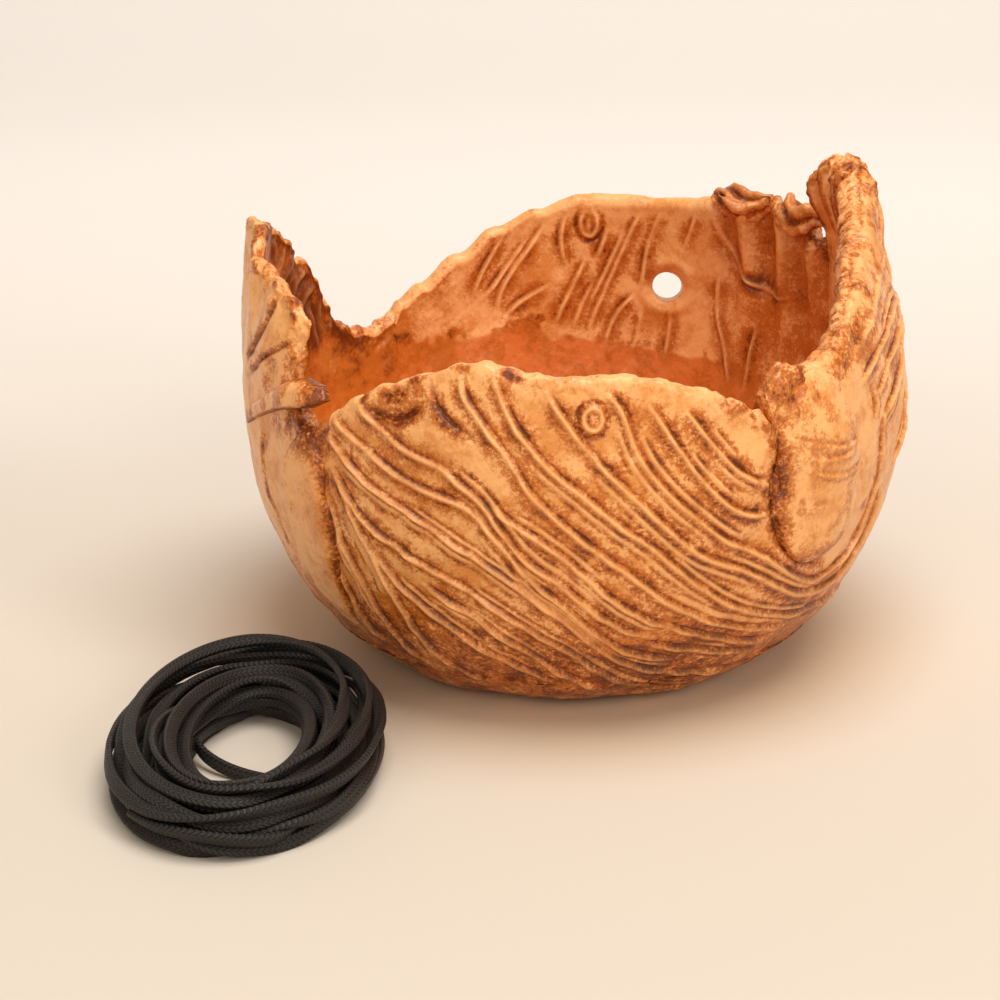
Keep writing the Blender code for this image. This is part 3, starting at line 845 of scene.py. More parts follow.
def slab_colours(node, grid, points, stain, crest, rolling, dark):
    """A slab's stain with painted shade, bare crest with painted light, red glaze and calm, as the parts of a
    colour.
    """
    angle, height, climb, inner = grid.angle, grid.height, grid.climb, grid.inner
    red, calm = np.zeros((2, *height.shape))
    level = between(RED_LEVELS, angle) - height[inner]
    for size, waves in zip(RED_WAVES, (LUMPS, DIMPLES, CRUMBLE)):
        level = level + size * uneven(points[inner], waves)
    red[inner] = smooth(level / RED_SOFT + 0.5)
    red_dirt = RED_DIRT * red[inner] + RED_EDGE_DIRT * bell(level, *RED_EDGE)
    stain[inner] = np.maximum(stain[inner], red_dirt * rolling[inner])
    if node == "gathered_slab":
        # The gathered slab's painted shade is deepest in its folds
        fold = GATHER_SHADE[0] + GATHER_SHADE[1] * sway(grid.turns, height) / PLEATS["size"]
        dark = dark * smooth((grid.end - grid.turns) / GATHER_FADE) * fold
    # Painted shade of the gathered and tucked slabs, growing with height
    stain = np.clip(stain + dark * ramp(height, *DARK_RISE), 0, 1)
    # Painted shade inside the bowl, with darker stain, growing above the red glaze
    shade = between(INSIDE_DARK, angle) * ramp(height[inner], *INSIDE_RISE)
    stain[inner] = np.clip(stain[inner] + shade, 0, 1)
    # Painted shade: the outside grows darker towards the bottom, under the belly
    low = LOW_KEPT * stain[climb] + LOW_PAINTED_SHADE * ramp(height[climb], *LOW_FALL)
    stain[climb] = np.maximum(stain[climb], low)
    # Dark glaze spots, and painted shadow under the strap and beside the right pad
    stain = np.maximum(stain, dark_spots(points))
    # Painted shade: the pale crests fade towards the bottom
    crest = crest * (1 - CREST_LOSS * ramp(height, *CREST_FALL))
    calm[inner] = between(INSIDE_CALM, angle)
    return np.stack([stain, crest, red, calm], -1)


def make_slab(node, lines, rim, edge, steps, rag, crumble=((FIRST_SEAM, 0.0),), dark=0.0, over_rim=0.1):
    """One slab of the wall with its torn and rounded edge, carved outside and scratched inside."""
    grid = slab_grid(rim, edge, steps, rag)
    if node == "left_slab":
        tear_end(grid)
    points = wall(grid.turns, grid.height, grid.depth - sway(grid.turns, grid.height))
    normal = grid_normals(points)
    moved = clay_bumps(points)
    stain, crest = np.zeros((2, *moved.shape))
    lip = np.maximum(smooth((grid.height - grid.top) / grid.thick + LIP_BAND), grid.torn)
    for rows, own in zip((grid.outer, slice(grid.climb.stop, None)), lines):
        kept = 1 - (1 - over_rim) * lip[rows]
        pressed, dirt, light = (kept * value for value in press(own, points[rows]))
        moved[rows] += pressed
        stain[rows] = np.maximum(stain[rows], dirt)
        crest[rows] = np.maximum(crest[rows], light)
    crumbs = uneven(points, CRUMBLE)
    worn = between(crumble, grid.angle) * lip
    moved += worn * (CRUMBLE_SIZES[0] * crumbs + CRUMBLE_SIZES[1] * uneven(points, GRIT))
    stain = np.maximum(stain, worn * CRUMBLE_DIRT * smooth(-crumbs))
    if node == "right_slab":
        cracks, dirt = edge_cracks(grid)
        moved -= cracks
        stain = np.maximum(stain, dirt)
        # Painted shade in the fan ribs' hollows and painted light on their tops
        ribs = swing_out(FAN_RIBS, around(grid.turns), grid.height)[grid.inner] / FAN_RIBS["size"]
        stain[grid.inner] = np.maximum(stain[grid.inner], RIB_PAINTED_SHADE * ramp(-ribs, *RIB_HOLLOW))
        crest[grid.inner] = np.maximum(crest[grid.inner], RIB_PAINTED_LIGHT * smooth(ribs))
    if node == "back_slab":
        moved += sum(size * bell(hole_distance(points), *form) for size, *form in HOLE_FORMS)
    moved[grid.outer] += knuckles(points[grid.outer])
    rolling = mottle(points, MOTTLE_LEVEL)
    stain = np.maximum(stain, between(RIM_DIRT, grid.angle) * lip * rolling)
    points = points + normal * moved[..., None]
    colours = slab_colours(node, grid, points, stain, crest, rolling, dark)
    kept = slice(1, -1)
    return clay_object(
        node.replace("slab", "wall"), points[:, kept], colours[:, kept], node,
        normals=grid_normals(points)[:, kept], top=grid.climb.stop + LIP_ROWS // 2)


def wall_section(height, depth):
    """Radius and height of a point of the lower wall's section."""
    x, y, level = wall(270.0, height, depth)
    return math.hypot(x, y), level


def make_base(lines):
    """The round base: flat underneath, carved like the wall outside, smooth inside, lapped into the wall."""
    foot = [(FOOT_RADIUS * share, 0.0) for share in FOOT_SHARES]
    levels = np.linspace(0, 1, BASE_ROWS) ** BASE_POWER * (BASE_TOP - BASE_START) + BASE_START
    outside = [(FOOT_RADIUS * FOOT_EDGE[0], FOOT_EDGE[1])]
    outside += [(float(profile(level, 0.0)), level) for level in levels]
    outside += [wall_section(BASE_TOP + rise, depth) for rise, depth in BASE_OUTER_LAP]
    lap = [wall_section(BASE_TOP + rise, WALL + proud) for rise, proud in BASE_LAP]
    share = np.linspace(1, FOOT_SHARES[0], FLOOR_RINGS)[1:]
    rim_radius, rim_level = lap[-1]
    rise = (rim_level - FLOOR_THICKNESS) * share ** FLOOR_POWER
    floor = np.stack([rim_radius * share, FLOOR_THICKNESS + rise], -1)
    section = np.concatenate([foot, outside, lap, floor])[:, None]
    turn = full_turn(BASE_COLUMNS)
    points = polar(section[..., 0], turn, section[..., 1] + 0 * turn)
    carved = slice(len(foot), len(foot) + len(outside))
    inner = slice(carved.stop, None)
    normal = grid_normals(points)
    upright = ramp(share, *FLOOR_LEVEL)[:, None, None]
    normal[-len(floor):] = upright * np.array([0.0, 0.0, 1.0]) + (1 - upright) * normal[-len(floor):]
    pressed, dirt, light = press(lines, points[carved])
    moved = clay_bumps(points)
    moved[:len(foot)] = 0
    moved[carved] = (moved[carved] + pressed) * ramp(points[carved][..., 2], *BASE_FADE)
    stain, crest, red = np.zeros((3, *moved.shape))
    # Stain from the lines, and painted shade as dark as the bottom of the wall
    stain[carved] = BASE_STAIN_AND_SHADE[0] * dirt + BASE_STAIN_AND_SHADE[1]
    crest[carved] = BASE_LIGHT * light
    stain[inner] = RED_DIRT * mottle(points[inner], MOTTLE_LEVEL)
    red[inner] = 1.0
    points = points + normal * moved[..., None]
    colours = np.stack([stain, crest, red, BASE_CALM * red], -1)
    return clay_object("base_floor", points, colours, "base_dish", closed=True)


# Pads, strap and curls

# Each pad's place, half sizes, thickness, tilt and roundness, how wavy its outline is, how deep its edge
# sinks in, and its dirt; for its left, right, lower and upper edge, how softly it rises and how dark it is:
# painted shade where the edge stands off the wall, and stain
PADS = {
    "right_seam_pad": {
        "angle": 313.5, "height": 57, "half": (13.2, 21.5), "thick": 2.3, "tilt": 4, "round": 0.42,
        "wavy": 0.05, "sink": 1.2, "dirt": 0.3, "soft": (0.3, 1.1, 0.22, 1.0),
        "rims": (0.9, 0.0, 0.9, 0.0)},
    "left_seam_pad": {
        "angle": 219, "height": 38.5, "half": (8.4, 25.5), "thick": 2.0, "tilt": -4, "round": 0.42,
        "wavy": 0.04, "sink": 1.2, "dirt": 0.15, "soft": (0.35, 0.4, 1.3, 0.25),
        "rims": (0.5, 1.0, 0.1, 0.9)},
    "left_fold_strap": {
        "half": (25.0, 3.0), "tilt": 23, "sink": 0.8, "dirt": 0.45, "soft": (1.5, 0.25, 0.3, 0.9),
        "rims": (0.0, 0.9, 1.3, 0.7)},
}

# The strap's middle line: angle, height, half width and thickness
STRAP_LINE = [
    (186, 52.5, 1.6, 1.6), (196, 58.2, 2.1, 2.6), (201, 61.4, 2.0, 2.6), (205, 63.8, 2.0, 2.6),
    (211, 67.5, 2.5, 3.0), (215.5, 70.0, 3.2, 3.5), (219.5, 71.4, 3.2, 3.5), (224, 72.6, 1.6, 2.8),
]
PAD_STEP = 0.4
PAD_WAVE = 0.5
PAD_ENDS = (3, 1)
PAD_SIDES = [(6, 0.6), (13, 2)]
PAD_TOP = (0.7, 1.1, 0.3)
PAD_GRIT = 0.05
PAD_BACK = 0.5
PAD_KNUCKLE = 0.8
PAD_MOTTLE = 0.5
PAD_LIGHT = 0.3
STRAIGHT_RISE = 1.4
RIM_REACH = 0.4


def pad_place(size, x, y):
    """Angle, height and thickness of a pad, from shares of its half width and half height."""
    tilt = math.radians(size["tilt"])
    if "angle" not in size:
        angles, heights, halves, thicks = zip(*STRAP_LINE)
        middle = (angles[0] + angles[-1]) / 2 + (angles[-1] - angles[0]) / 2 * x
        along = y * np.interp(middle, angles, halves)
        angle = middle - np.degrees(along * math.sin(tilt) / BODY_RADIUS)
        height = np.interp(middle, angles, heights) + along * math.cos(tilt)
        return angle, height, np.interp(middle, angles, thicks)
    half_width, half_height = size["half"]
    outline = size["wavy"] * sum(np.sin(turns * y + phase) for turns, phase in PAD_SIDES)
    across = half_width * (x * np.sqrt(1 - size["round"] * y * y) + np.abs(x) * outline)
    ends = PAD_WAVE * np.sin(PAD_ENDS[0] * x + PAD_ENDS[1])
    along = half_height * y * np.sqrt(1 - size["round"] * x * x) + ends * np.abs(y)
    angle = size["angle"] + np.degrees((across * math.cos(tilt) - along * math.sin(tilt)) / BODY_RADIUS)
    return angle, size["height"] + across * math.sin(tilt) + along * math.cos(tilt), size["thick"]


def make_pad(node, name, lines):
    """A pad of clay pressed on to the wall, with its edge sunk into it."""
    size = PADS[node]
    x, y = np.meshgrid(*(np.linspace(-1, 1, int(2 * half / PAD_STEP)) for half in size["half"]))
    angle, height, thick = pad_place(size, x, y)
    dome = 1.0
    for place, soft in zip((x + 1, 1 - x, y + 1, 1 - y), size["soft"]):
        share = np.clip(place / soft, 0, 1)
        dome = dome * (share if soft > STRAIGHT_RISE else np.sqrt(share * (2 - share)))
    front = wall(angle, height, size["sink"] - (thick + size["sink"]) * dome)
    pressed, creased, _ = press(lines, front)
    stain = np.maximum(creased, size["dirt"] * mottle(front, PAD_MOTTLE))
    raised = clay_bumps(front, PAD_GRIT) + pressed + PAD_KNUCKLE * knuckles(front)
    raised = raised * (np.maximum(np.abs(x), np.abs(y)) < 1)
    front = front + wall_normal(angle, height) * raised[..., None]
    back = wall(angle, height, size["sink"] + PAD_BACK)
    # Darker edges: painted shade where an edge stands off the wall, and stain
    edge_shade = np.zeros(x.shape)
    for place, strength in zip((-x, x, -y, y), size["rims"]):
        edge_shade = np.maximum(edge_shade, strength * ramp(place, 1 - RIM_REACH, 1))
    # Dark glaze spots, and painted shadow under the strap and beside the right pad
    stain = np.maximum(np.maximum(stain, edge_shade), dark_spots(front))
    crest = PAD_LIGHT * mask(dome, *PAD_TOP) * (1 - edge_shade)
    colours = np.stack([stain, crest, 0 * x, 0 * x], -1)
    return clay_object(
        name, np.concatenate([front, back[::-1]]), np.concatenate([colours, colours[::-1]]), node)


# A curl is a strip of clay rolled up on itself
ROLL_RADIUS = 4.0
ROLL_SKIN = 0.95
ROLL_TURNS = 1.45
ROLL_STATIONS = 90
ROLL_POINTS = 80
ROLL_ENDS = (3.0, 1.6)
ROLL_BOW = 2.0
ROLL_WIND = 0.62
ROLL_CORE = 0.06
ROLL_TAPER = (0.35, 0.75)
ROLL_CLOSE = (0.02, 0.98)
ROLL_HEAVE = (0.6, 9)
ROLL_TWIST = (0.9, 3)
ROLL_FLUTE = 0.24
ROLL_FLUTES = (4, 6, 2)
ROLL_HOLLOW = 1.4
ROLL_BUMPS = (0.2, 0.25)
ROLL_DIRT = (0.42, 0.58)
ROLL_LIGHT = 0.32
ROLL_CALM = 0.4


def make_roll(node, name, phase, lift):
    """A curl of clay along the rim, with creases across it."""
    low, high = box_mm(node)
    corners = np.array([(x, y) for x in (low[0], high[0]) for y in (low[1], high[1])])
    start = angle_of(corners).min() + ROLL_ENDS[0]
    end = angle_of(corners).max() - ROLL_ENDS[1]
    share = np.linspace(0, 1, ROLL_STATIONS)
    angle = start + (end - start) * share
    level = (low[2] + high[2]) / 2 + lift + ROLL_HEAVE[0] * np.sin(ROLL_HEAVE[1] * share + phase)
    spine = wall(angle, level, WALL / 2 + ROLL_BOW * np.sin(np.pi * share))
    thin, swell = ROLL_TAPER
    radius = ROLL_RADIUS * (thin + swell * np.sqrt(np.sin(np.pi * np.clip(share, *ROLL_CLOSE))))
    turn = np.linspace(0, 2 * np.pi * ROLL_TURNS, ROLL_POINTS)
    curl = 1 - ROLL_WIND * turn / turn[-1]
    within = np.maximum(curl - 2 * ROLL_SKIN / ROLL_RADIUS, ROLL_CORE)
    turn = np.concatenate([turn, turn[::-1]])[:, None]
    reach = np.concatenate([curl, within[::-1]])[:, None]
    flute = np.sin(ROLL_FLUTES[0] * turn + ROLL_FLUTES[1] * share + ROLL_FLUTES[2] * phase)
    reach = (reach * radius * (1 + ROLL_FLUTE * flute))[..., None]
    rolled = (turn + phase + ROLL_TWIST[0] * np.sin(ROLL_TWIST[1] * share))[..., None]
    out = polar(1, np.radians(angle), 0 * angle)
    points = spine + reach * (np.cos(rolled) * out + np.sin(rolled) * np.array([0, 0, 1]))
    points, flute = points[::-1], flute[::-1]
    moved = ROLL_BUMPS[0] * uneven(points, DIMPLES) + ROLL_BUMPS[1] * uneven(points, CRUMBLE)
    points = points + grid_normals(points) * moved[..., None]
    dirt = ROLL_DIRT[0] + ROLL_DIRT[1] * smooth(-ROLL_HOLLOW * flute)
    colours = np.stack([dirt, ROLL_LIGHT * smooth(flute), 0 * flute, 0 * flute + ROLL_CALM], -1)
    return clay_object(name, points, colours, node)


# The coil of cord

CORD_WIDTH = 3.0
CORD_THICK = 1.5
CORD_CORNER = 3.2
CORD_SIDES = 12
CORD_STEP = 0.75
CORD_ROUNDING = 5.0
CORD_LEAST_HEIGHT = 0.1

# The bundle of loops: how many, points of each, the half sizes and the yaw of its middle line, and its own
# half width and half height
LOOPS = 24
STATIONS = 96
COIL_HALF = (19.6, 32.0)
COIL_YAW = -5
BUNDLE = (7.9, 7.4)

# How loops wander at first, and how they settle: each round pushes them apart, lets them sag and pulls
# them in
WANDER_LENGTHS = (0.45, 0.9, 1.9)
WANDER = 0.62
SETTLE_ROUNDS = 110
STRAND_APART = 2.75
PUSH = 0.24
SAG = 0.012
PULL = 0.12
BUNDLE_SLOPE = 0.2
FLOOR_GAP = 0.62

# Where the cord begins, as a share of a loop, and its tail in the photograph with its heights
CORD_START = 0.36
CORD_CUT = 0.2
CORD_TAIL = [(193, 738), (203, 755), (225, 769), (252, 778), (281, 783)]
TAIL_HEIGHTS = [4.5, 3.2, 2.0, 1.2, 1.0]

# How the flat side of the cord turns
FACE_MIDDLE = 0.8
FACE_SOFT = 1.5
FACE_UP = 0.35
FACE_WINDOW = 31
TWISTS = 110
TWIST = 0.8

# The braid's length that one unit of its map stands for
BRAID_UNIT = 100


def coil_place(turn, outward, level):
    """A point of the bundle of loops: outward and level are measured from its middle line and the floor."""
    centre = sum(box_mm("cord_coil")) / 2
    yaw = math.radians(COIL_YAW)
    bearing = 2 * np.pi * turn
    x = (COIL_HALF[0] + outward) * np.cos(bearing)
    y = (COIL_HALF[1] + outward) * np.sin(bearing)
    return np.stack([
        centre[0] + x * math.cos(yaw) - y * math.sin(yaw),
        centre[1] + x * math.sin(yaw) + y * math.cos(yaw), level], -1)


def settle_loops():
    """Where each loop lies in the bundle: loops push apart, sag on to the floor and pass over each other."""
    turn = np.arange(LOOPS * STATIONS) / STATIONS
    outward, level = np.zeros((2, len(turn)))
    for length in WANDER_LENGTHS:
        knots = int(LOOPS / length) + 4
        places = np.linspace(0, LOOPS, knots)
        outward += np.interp(turn, places, CHANCE.normal(size=knots)) * BUNDLE[0] * WANDER
        level += np.interp(turn, places, CHANCE.normal(size=knots)) * BUNDLE[1] * WANDER
    level += BUNDLE[1]
    height = BUNDLE[1] * (1.0 + BUNDLE_SLOPE * np.sin(2 * np.pi * (turn - CORD_START)))
    for _ in range(SETTLE_ROUNDS):
        grid_out = outward.reshape(LOOPS, STATIONS)
        grid_up = level.reshape(LOOPS, STATIONS)
        gap_out = grid_out[:, None] - grid_out[None]
        gap_up = grid_up[:, None] - grid_up[None]
        apart = np.sqrt(gap_out ** 2 + gap_up ** 2) + SMALL
        push = np.clip(STRAND_APART - apart, 0, None) * PUSH / apart
        outward = outward + (gap_out * push).sum(1).ravel()
        level = level + (gap_up * push).sum(1).ravel() - SAG
        over = np.sqrt((outward / BUNDLE[0]) ** 2 + ((level - height) / height) ** 2)
        pull = PULL * np.clip(over - 1, 0, None) / np.maximum(over, SMALL)
        outward -= pull * outward
        level -= pull * (level - height)
        level = np.maximum(level, CORD_THICK * FLOOR_GAP)
        for values in (outward, level):
            values[1:-1] = 0.5 * values[1:-1] + 0.25 * (values[2:] + values[:-2])
    return turn, outward, level


def cord_route():
    """The cord's middle line: its loops, and its two cut ends where the photograph shows them."""
    turn, outward, level = settle_loops()
    loops = coil_place(turn - CORD_START, outward, level)
    tail = on_floor(CORD_TAIL, np.array(TAIL_HEIGHTS))
    route = np.concatenate([loops[:-int(STATIONS * CORD_CUT)], tail])
    return even_line(route, CORD_STEP, CORD_ROUNDING)


def cord_faces(route):
    """The way the cord's flat side faces, and the way across its width, at each point of its route."""
    along = unit(np.gradient(route, axis=0))
    centre = sum(box_mm("cord_coil"))[:2] / 2
    outward = route[:, :2] - centre
    outward = outward / np.linalg.norm(outward / np.array(COIL_HALF), axis=1, keepdims=True)
    face = route - np.column_stack([centre + outward, np.full(len(route), BUNDLE[1] * FACE_MIDDLE)])
    face /= np.linalg.norm(face, axis=1, keepdims=True) + FACE_SOFT
    face[:, 2] += FACE_UP
    face -= (face * along).sum(1)[:, None] * along
    window = np.ones(FACE_WINDOW) / FACE_WINDOW
    face = np.stack([np.convolve(column, window, "same") for column in face.T], -1)
    face = unit(face - (face * along).sum(1)[:, None] * along)
    side = np.cross(along, face)
    places = np.linspace(0, len(route), TWISTS)
    swing = np.interp(np.arange(len(route)), places, CHANCE.normal(size=TWISTS))[:, None] * TWIST
    return face * np.cos(swing) + side * np.sin(swing), side * np.cos(swing) - face * np.sin(swing)


def make_cord():
    """A flat braid swept along the route, lying flat on the bundle under it."""
    route = cord_route()
    face, side = cord_faces(route)
    turn = full_turn(CORD_SIDES)
    wide, thick = (
        half / 2 * np.sign(wave) * np.abs(wave) ** (2 / CORD_CORNER)
        for half, wave in ((CORD_WIDTH, np.cos(turn)), (CORD_THICK, np.sin(turn))))
    points = route[:, None] + wide[:, None] * side[:, None] + thick[:, None] * face[:, None]
    points[..., 2] = np.maximum(points[..., 2], CORD_LEAST_HEIGHT)
    rows = len(route)
    index = np.arange(rows * CORD_SIDES).reshape(rows, CORD_SIDES)
    after = np.roll(index, -1, axis=1)
    quads = np.stack([index[:-1], index[1:], after[1:], after[:-1]], -1).reshape(-1, 4)
    caps = [index[0].tolist(), index[-1, ::-1].tolist()]
    piece = add_mesh("braided_cord", points, quads.tolist(), caps)
    steps = np.arange(rows)[:, None] * CORD_STEP / BRAID_UNIT + 0 * wide
    spots = np.stack([steps, 0 * steps + 0.5 + wide / CORD_WIDTH], -1).reshape(-1, 2)
    places = np.concatenate([spots[quads.ravel()], np.zeros((2 * CORD_SIDES, 2))])
    layer = piece.data.uv_layers.new(name="braid")
    layer.data.foreach_set("uv", places.astype(np.float32).ravel())
    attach(piece, "cord")
    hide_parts("cord_coil")
    return piece


# Materials

GLAZE = {
    "tan": (0.91, 0.442, 0.160), "warm": (0.68, 0.225, 0.036), "amber": (0.52, 0.128, 0.012),
    "brown": (0.19, 0.036, 0.003), "umber": (0.060, 0.016, 0.006), "red": (0.72, 0.192, 0.036),
    "rust": (0.52, 0.150, 0.020),
}
# The braid's colour runs from black in the gaps between strands, darkened as painted shade, to a lighter
# painted sheen on the strands' tops; dust lies over it
CORD_BLACK = (0.0014, 0.0010, 0.0008)
CORD_SHEEN = (0.022, 0.0155, 0.0120)
CORD_DUST = (0.10, 0.09, 0.08)
BRAID_PITCH = 1.25
BRAID_COLUMNS = 4.0
BRAID_SLANT = 0.9
BUMP_HEIGHT = 0.0004


class Paint:
    """A procedural material, with short ways to add its nodes."""

    def __init__(self, name):
        self.material = bpy.data.materials.new(name)
        self.material.use_nodes = True
        self.tree = self.material.node_tree

    def feed(self, node, inputs):
        """Links other nodes' outputs to a node's inputs, or sets constants on them."""
        for key, value in inputs.items():
            socket = node.inputs[key]
            if isinstance(value, bpy.types.NodeSocket):
                self.tree.links.new(value, socket)
            else:
                socket.default_value = (*value, 1.0) if isinstance(value, tuple) else value

    def finish(self, inputs):
        self.feed(self.tree.nodes["Principled BSDF"], inputs)
        return self.material

    def node(self, kind, inputs, **settings):
        made = self.tree.nodes.new(kind)
        for key, value in settings.items():
            setattr(made, key, value)
        self.feed(made, inputs)
        return made.outputs

    def place(self):
        return self.node("ShaderNodeTexCoord", {})["Object"]

    def noise(self, scale, detail=4.0, roughness=0.55):
        inputs = {"Vector": self.place(), "Scale": scale, "Detail": detail, "Roughness": roughness}
        return self.node("ShaderNodeTexNoise", inputs)["Fac"]

    def ramp(self, value, low, high):
        """Stretches a value so that low becomes 0 and high becomes 1."""
        inputs = {"Value": value, "From Min": low, "From Max": high}
        return self.node("ShaderNodeMapRange", inputs, interpolation_type="SMOOTHSTEP")["Result"]

    def math(self, operation, *values):
        return self.node("ShaderNodeMath", dict(enumerate(values)), operation=operation)["Value"]

    def scaled(self, value, times, plus=0.0):
        return self.math("MULTIPLY_ADD", value, times, plus)

    def mix(self, share, first, second):
        return self.node("ShaderNodeMix", {0: share, 6: first, 7: second}, data_type="RGBA")[2]

    def bump(self, height, strength):
        inputs = {"Height": height, "Strength": strength, "Distance": BUMP_HEIGHT}
        return self.node("ShaderNodeBump", inputs)["Normal"]


def make_glaze(name, roughness):
    """Iron glaze: thin and pale on ridges, brown where it pools, speckled, half glossy."""
    paint = Paint(name)
    clay = paint.node("ShaderNodeAttribute", {}, attribute_name="clay")
    # The stain channel also carries painted shade, and the crest channel painted light on the fan ribs
    stain, crest, red = paint.node("ShaderNodeSeparateColor", {"Color": clay["Color"]})
    clouds = paint.ramp(paint.noise(85.0, 9.0, 0.72), 0.46, 0.62)
    patches = paint.noise(230.0, 7.0, 0.7)
    grains = paint.noise(1250.0, 6.0, 0.72)
    specks = paint.ramp(paint.noise(1700.0, 3.0, 0.6), 0.64, 0.72)
    coat = paint.ramp(paint.noise(95.0, 3.0), 0.34, 0.62)
    stain = paint.scaled(stain, paint.scaled(coat, 0.55, 0.6))
    spread = paint.scaled(patches, 3.0, paint.scaled(grains, 3.5, -3.25))
    spread = paint.scaled(spread, paint.scaled(clay["Alpha"], -0.8, 1.0))
    spotted = paint.scaled(spread, paint.scaled(stain, 1.0, 0.22), stain)
    colour = paint.mix(paint.scaled(clouds, 0.8), GLAZE["tan"], GLAZE["warm"])
    colour = paint.mix(red, colour, paint.mix(clouds, GLAZE["red"], GLAZE["rust"]))
    colour = paint.mix(paint.scaled(paint.ramp(spotted, 0.05, 0.5), 0.95), colour, GLAZE["amber"])
    colour = paint.mix(paint.ramp(spotted, 0.5, 1.05), colour, GLAZE["brown"])
    colour = paint.mix(paint.scaled(crest, 0.7), colour, GLAZE["tan"])
    colour = paint.mix(paint.scaled(paint.ramp(spotted, 1.2, 1.9), 0.75), colour, GLAZE["umber"])
    colour = paint.mix(paint.scaled(specks, 0.45), colour, GLAZE["brown"])
    return paint.finish({
        "Base Color": colour, "Specular IOR Level": 0.28, "Coat Weight": 0.22, "Coat Roughness": 0.14,
        "Roughness": paint.scaled(patches, 0.3, roughness),
        "Normal": paint.bump(paint.noise(900.0, 5.0, 0.6), 0.4)})


def make_braid():
    """Waxed black cord: slanted strands that meet in a herringbone along the middle of each face."""
    paint = Paint("waxed_braid")
    place = paint.node("ShaderNodeUVMap", {}, uv_map="braid")["UV"]
    x, y, _ = paint.node("ShaderNodeSeparateXYZ", {"Vector": place})
    along = paint.scaled(x, BRAID_UNIT / BRAID_PITCH)
    across = paint.math("PINGPONG", paint.scaled(y, BRAID_COLUMNS), 1.0)
    slant = paint.scaled(across, BRAID_SLANT, along)
    strand = paint.ramp(paint.math("SINE", paint.scaled(slant, 2 * math.pi)), -1.0, 0.3)
    fold = paint.scaled(paint.ramp(across, 0.0, 0.15), paint.ramp(across, 1.0, 0.85))
    height = paint.scaled(strand, paint.scaled(fold, 0.5, 0.5))
    dust = paint.ramp(paint.noise(2600.0, 2.0), 0.70, 0.80)
    # Painted shade in the braid's gaps and painted sheen on its strands
    colour = paint.mix(paint.scaled(dust, 0.25), paint.mix(height, CORD_BLACK, CORD_SHEEN), CORD_DUST)
    return paint.finish({
        "Base Color": colour, "Specular IOR Level": 0.4, "Normal": paint.bump(height, 0.7),
        "Roughness": paint.scaled(paint.noise(400.0), 0.2, 0.46)})


# Stage, light and camera

# Paper near the viewer and far away, in metres along Y, and paper near the bowl, painted with the warm
# light that the bowl's belly reflects into its shadow, in metres from the middle
NEAR_PAPER = (0.645, 0.57, 0.482)
FAR_PAPER = (0.92, 0.866, 0.828)
PAPER_SPAN = (-0.12, 0.5)
GLOW_PAPER = (0.70, 0.54, 0.375)
GLOW_SPAN = (0.098, 0.05)

# The paper's section and half width in metres
PAPER_FRONT = -1.6
PAPER_BACK = 1.1
PAPER_TOP = 2.2
PAPER_BEND = 0.5
PAPER_HALF = 2.4
BEND_STEPS = 12

LAMPS = [
    {"name": "overhead", "place": (0.2, -0.25, 1.25), "aim": (0.0, 0.0, 0.0), "size": 1.0, "power": 14.8},
    {"name": "right_front", "place": (0.95, -0.95, 0.8), "aim": (0.0, 0.0, 0.05), "size": 0.5, "power": 4.8},
    {"name": "front", "place": (0.3, -1.25, 0.7), "aim": (0.0, 0.0, 0.05), "size": 0.5, "power": 1.5},
    {"name": "front_fill", "place": (-0.5, -1.15, 0.55), "aim": (0.0, 0.0, 0.03), "size": 0.9, "power": 4.3,
     "colour": (1.0, 0.91, 0.8)},
]
LAMP_COLOUR = (1.0, 0.972, 0.928)
WORLD_COLOUR = (1.0, 0.90, 0.77)
WORLD_STRENGTH = 0.33


def make_stage():
    """A pale sweep of paper: a floor that curves up into a backdrop."""
    bend = [step / BEND_STEPS * math.pi / 2 for step in range(BEND_STEPS + 1)]
    curve = [(PAPER_FRONT, 0.0)]
    curve += [
        (PAPER_BACK - PAPER_BEND + PAPER_BEND * math.sin(turn), PAPER_BEND - PAPER_BEND * math.cos(turn))
        for turn in bend]
    curve.append((PAPER_BACK, PAPER_TOP))
    points = np.array([(side, y, z) for y, z in curve for side in (-PAPER_HALF, PAPER_HALF)]) / MM
    faces = [[2 * row, 2 * row + 1, 2 * row + 3, 2 * row + 2] for row in range(len(curve) - 1)]
    sweep = add_mesh("paper_sweep", points, faces, [])
    paint = Paint("cream_paper")
    _, y, _ = paint.node("ShaderNodeSeparateXYZ", {"Vector": paint.place()})
    away = paint.node("ShaderNodeVectorMath", {0: paint.place()}, operation="LENGTH")["Value"]
    paper = paint.mix(paint.ramp(y, *PAPER_SPAN), NEAR_PAPER, FAR_PAPER)
    # Painted warm light reflected from the bowl on to the paper round its foot
    paper = paint.mix(paint.ramp(away, *GLOW_SPAN), paper, GLOW_PAPER)
    sweep.data.materials.append(
        paint.finish({"Base Color": paper, "Roughness": 0.9, "Specular IOR Level": 0.1}))


def make_lights():
    for lamp in LAMPS:
        data = bpy.data.lights.new(lamp["name"], "AREA")
        data.shape = "DISK"
        data.size = lamp["size"]
        data.energy = lamp["power"]
        data.color = lamp.get("colour", LAMP_COLOUR)
        item = add_object(lamp["name"], data)
        item.location = lamp["place"]
        way = Vector(lamp["aim"]) - Vector(lamp["place"])
        item.rotation_euler = way.to_track_quat("-Z", "Y").to_euler()
    world = bpy.data.worlds.new("soft_room")
    world.use_nodes = True
    background = world.node_tree.nodes["Background"]
    background.inputs["Color"].default_value = (*WORLD_COLOUR, 1.0)
    background.inputs["Strength"].default_value = WORLD_STRENGTH
    bpy.context.scene.world = world


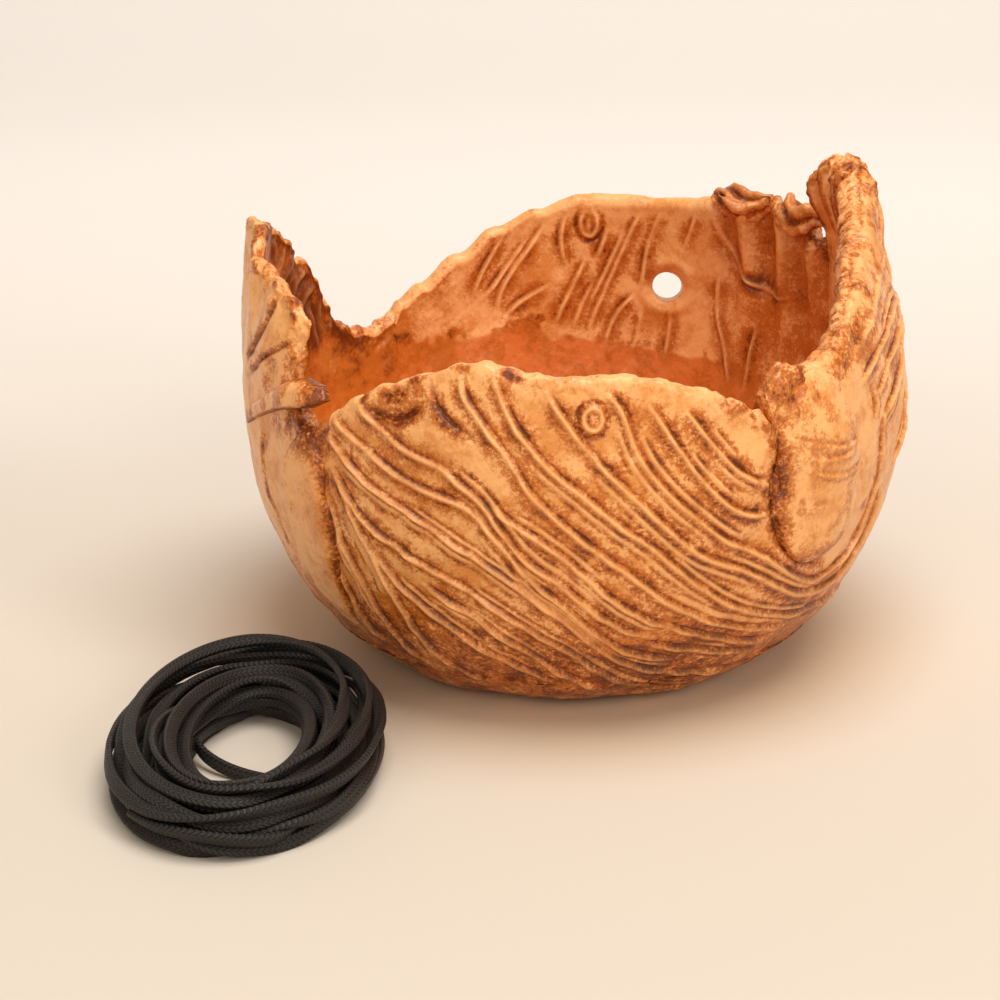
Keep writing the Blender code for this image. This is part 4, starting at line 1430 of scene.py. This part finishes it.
def make_camera():
    data = bpy.data.cameras.new("photo_view")
    data.sensor_width = SENSOR
    data.lens = SENSOR * VIEW_FOCAL / PHOTO_SIZE
    data.clip_start = 0.05
    camera = add_object("photo_view", data)
    camera.location = VIEW_PLACE * MM
    camera.rotation_euler = (math.radians(90 - VIEW_PITCH), 0.0, 0.0)
    bpy.context.scene.camera = camera


def cut_hole(piece):
    """The round hole through the back wall."""
    turn = full_turn(HOLE_SIDES)
    circle = polar(HOLE_RADIUS, turn, 0 * turn)
    reach = np.array([0.0, 0.0, HOLE_REACH])
    near = list(range(HOLE_SIDES))
    sides = zip(near, near[1:] + near[:1])
    faces = [[step, after, after + HOLE_SIDES, step + HOLE_SIDES] for step, after in sides]
    faces += [near[::-1], [step + HOLE_SIDES for step in near]]
    cutter = add_mesh("hole_cutter", np.concatenate([circle - reach, circle + reach]), [], faces)
    cutter.location = wall(HOLE_ANGLE, HOLE_HEIGHT, WALL / 2) * MM
    cutter.rotation_euler = (math.radians(90 - HOLE_TILT), 0.0, 0.0)
    cut = piece.modifiers.new("cord_hole", "BOOLEAN")
    cut.operation = "DIFFERENCE"
    cut.solver = "EXACT"
    cut.object = cutter
    bpy.context.view_layer.update()
    ready = piece.evaluated_get(bpy.context.evaluated_depsgraph_get())
    made = bpy.data.meshes.new_from_object(ready)
    piece.modifiers.clear()
    piece.data = made
    bpy.data.objects.remove(cutter)


# Making the whole

make_camera()
cord = make_cord()
cord.data.materials.append(make_braid())

ridges = traced(FRONT_GRAIN, "grain") + traced(RIGHT_GRAIN, "grain")
pad_lines = traced(PAD_CREASES, "ripple", strength=0.8)
outer_lines = ridges + traced(LEFT_FLAPS, "flap") + traced(FRONT_CREASES, "crease")
outer_lines += traced(LEFT_CREASES, "crease", strength=0.6) + fine_grain(ridges) + [ring(FRONT_KNOT)]
outer_lines += sweeping_lines() + pad_lines
inner_lines = traced(BACK_SCRATCHES, "scratch", inside=True) + [ring(BACK_KNOT, inside=True)]
inner_lines += traced(LEFT_PLEATS, "pleat", inside=True)

walls = {node: make_slab(node, (outer_lines, inner_lines), **slab) for node, slab in SLABS.items()}
cut_hole(walls["back_slab"])
pads = [
    make_pad("right_seam_pad", "right_pressed_pad", pad_lines),
    make_pad("left_seam_pad", "left_pressed_pad", pad_lines),
    make_pad("left_fold_strap", "left_folded_strap", pad_lines),
]
rolls = [
    make_roll("near_rim_roll", "near_curl", phase=0.4, lift=1.6),
    make_roll("far_rim_roll", "far_curl", phase=2.1, lift=2.2),
]
glaze = make_glaze("iron_glaze", roughness=0.25)
for piece in [*walls.values(), *pads, *rolls]:
    piece.data.materials.append(glaze)
base = make_base(outer_lines)
base.data.materials.append(make_glaze("base_glaze", roughness=0.2375))

make_stage()
make_lights()
bpy.context.scene.view_settings.view_transform = "Standard"
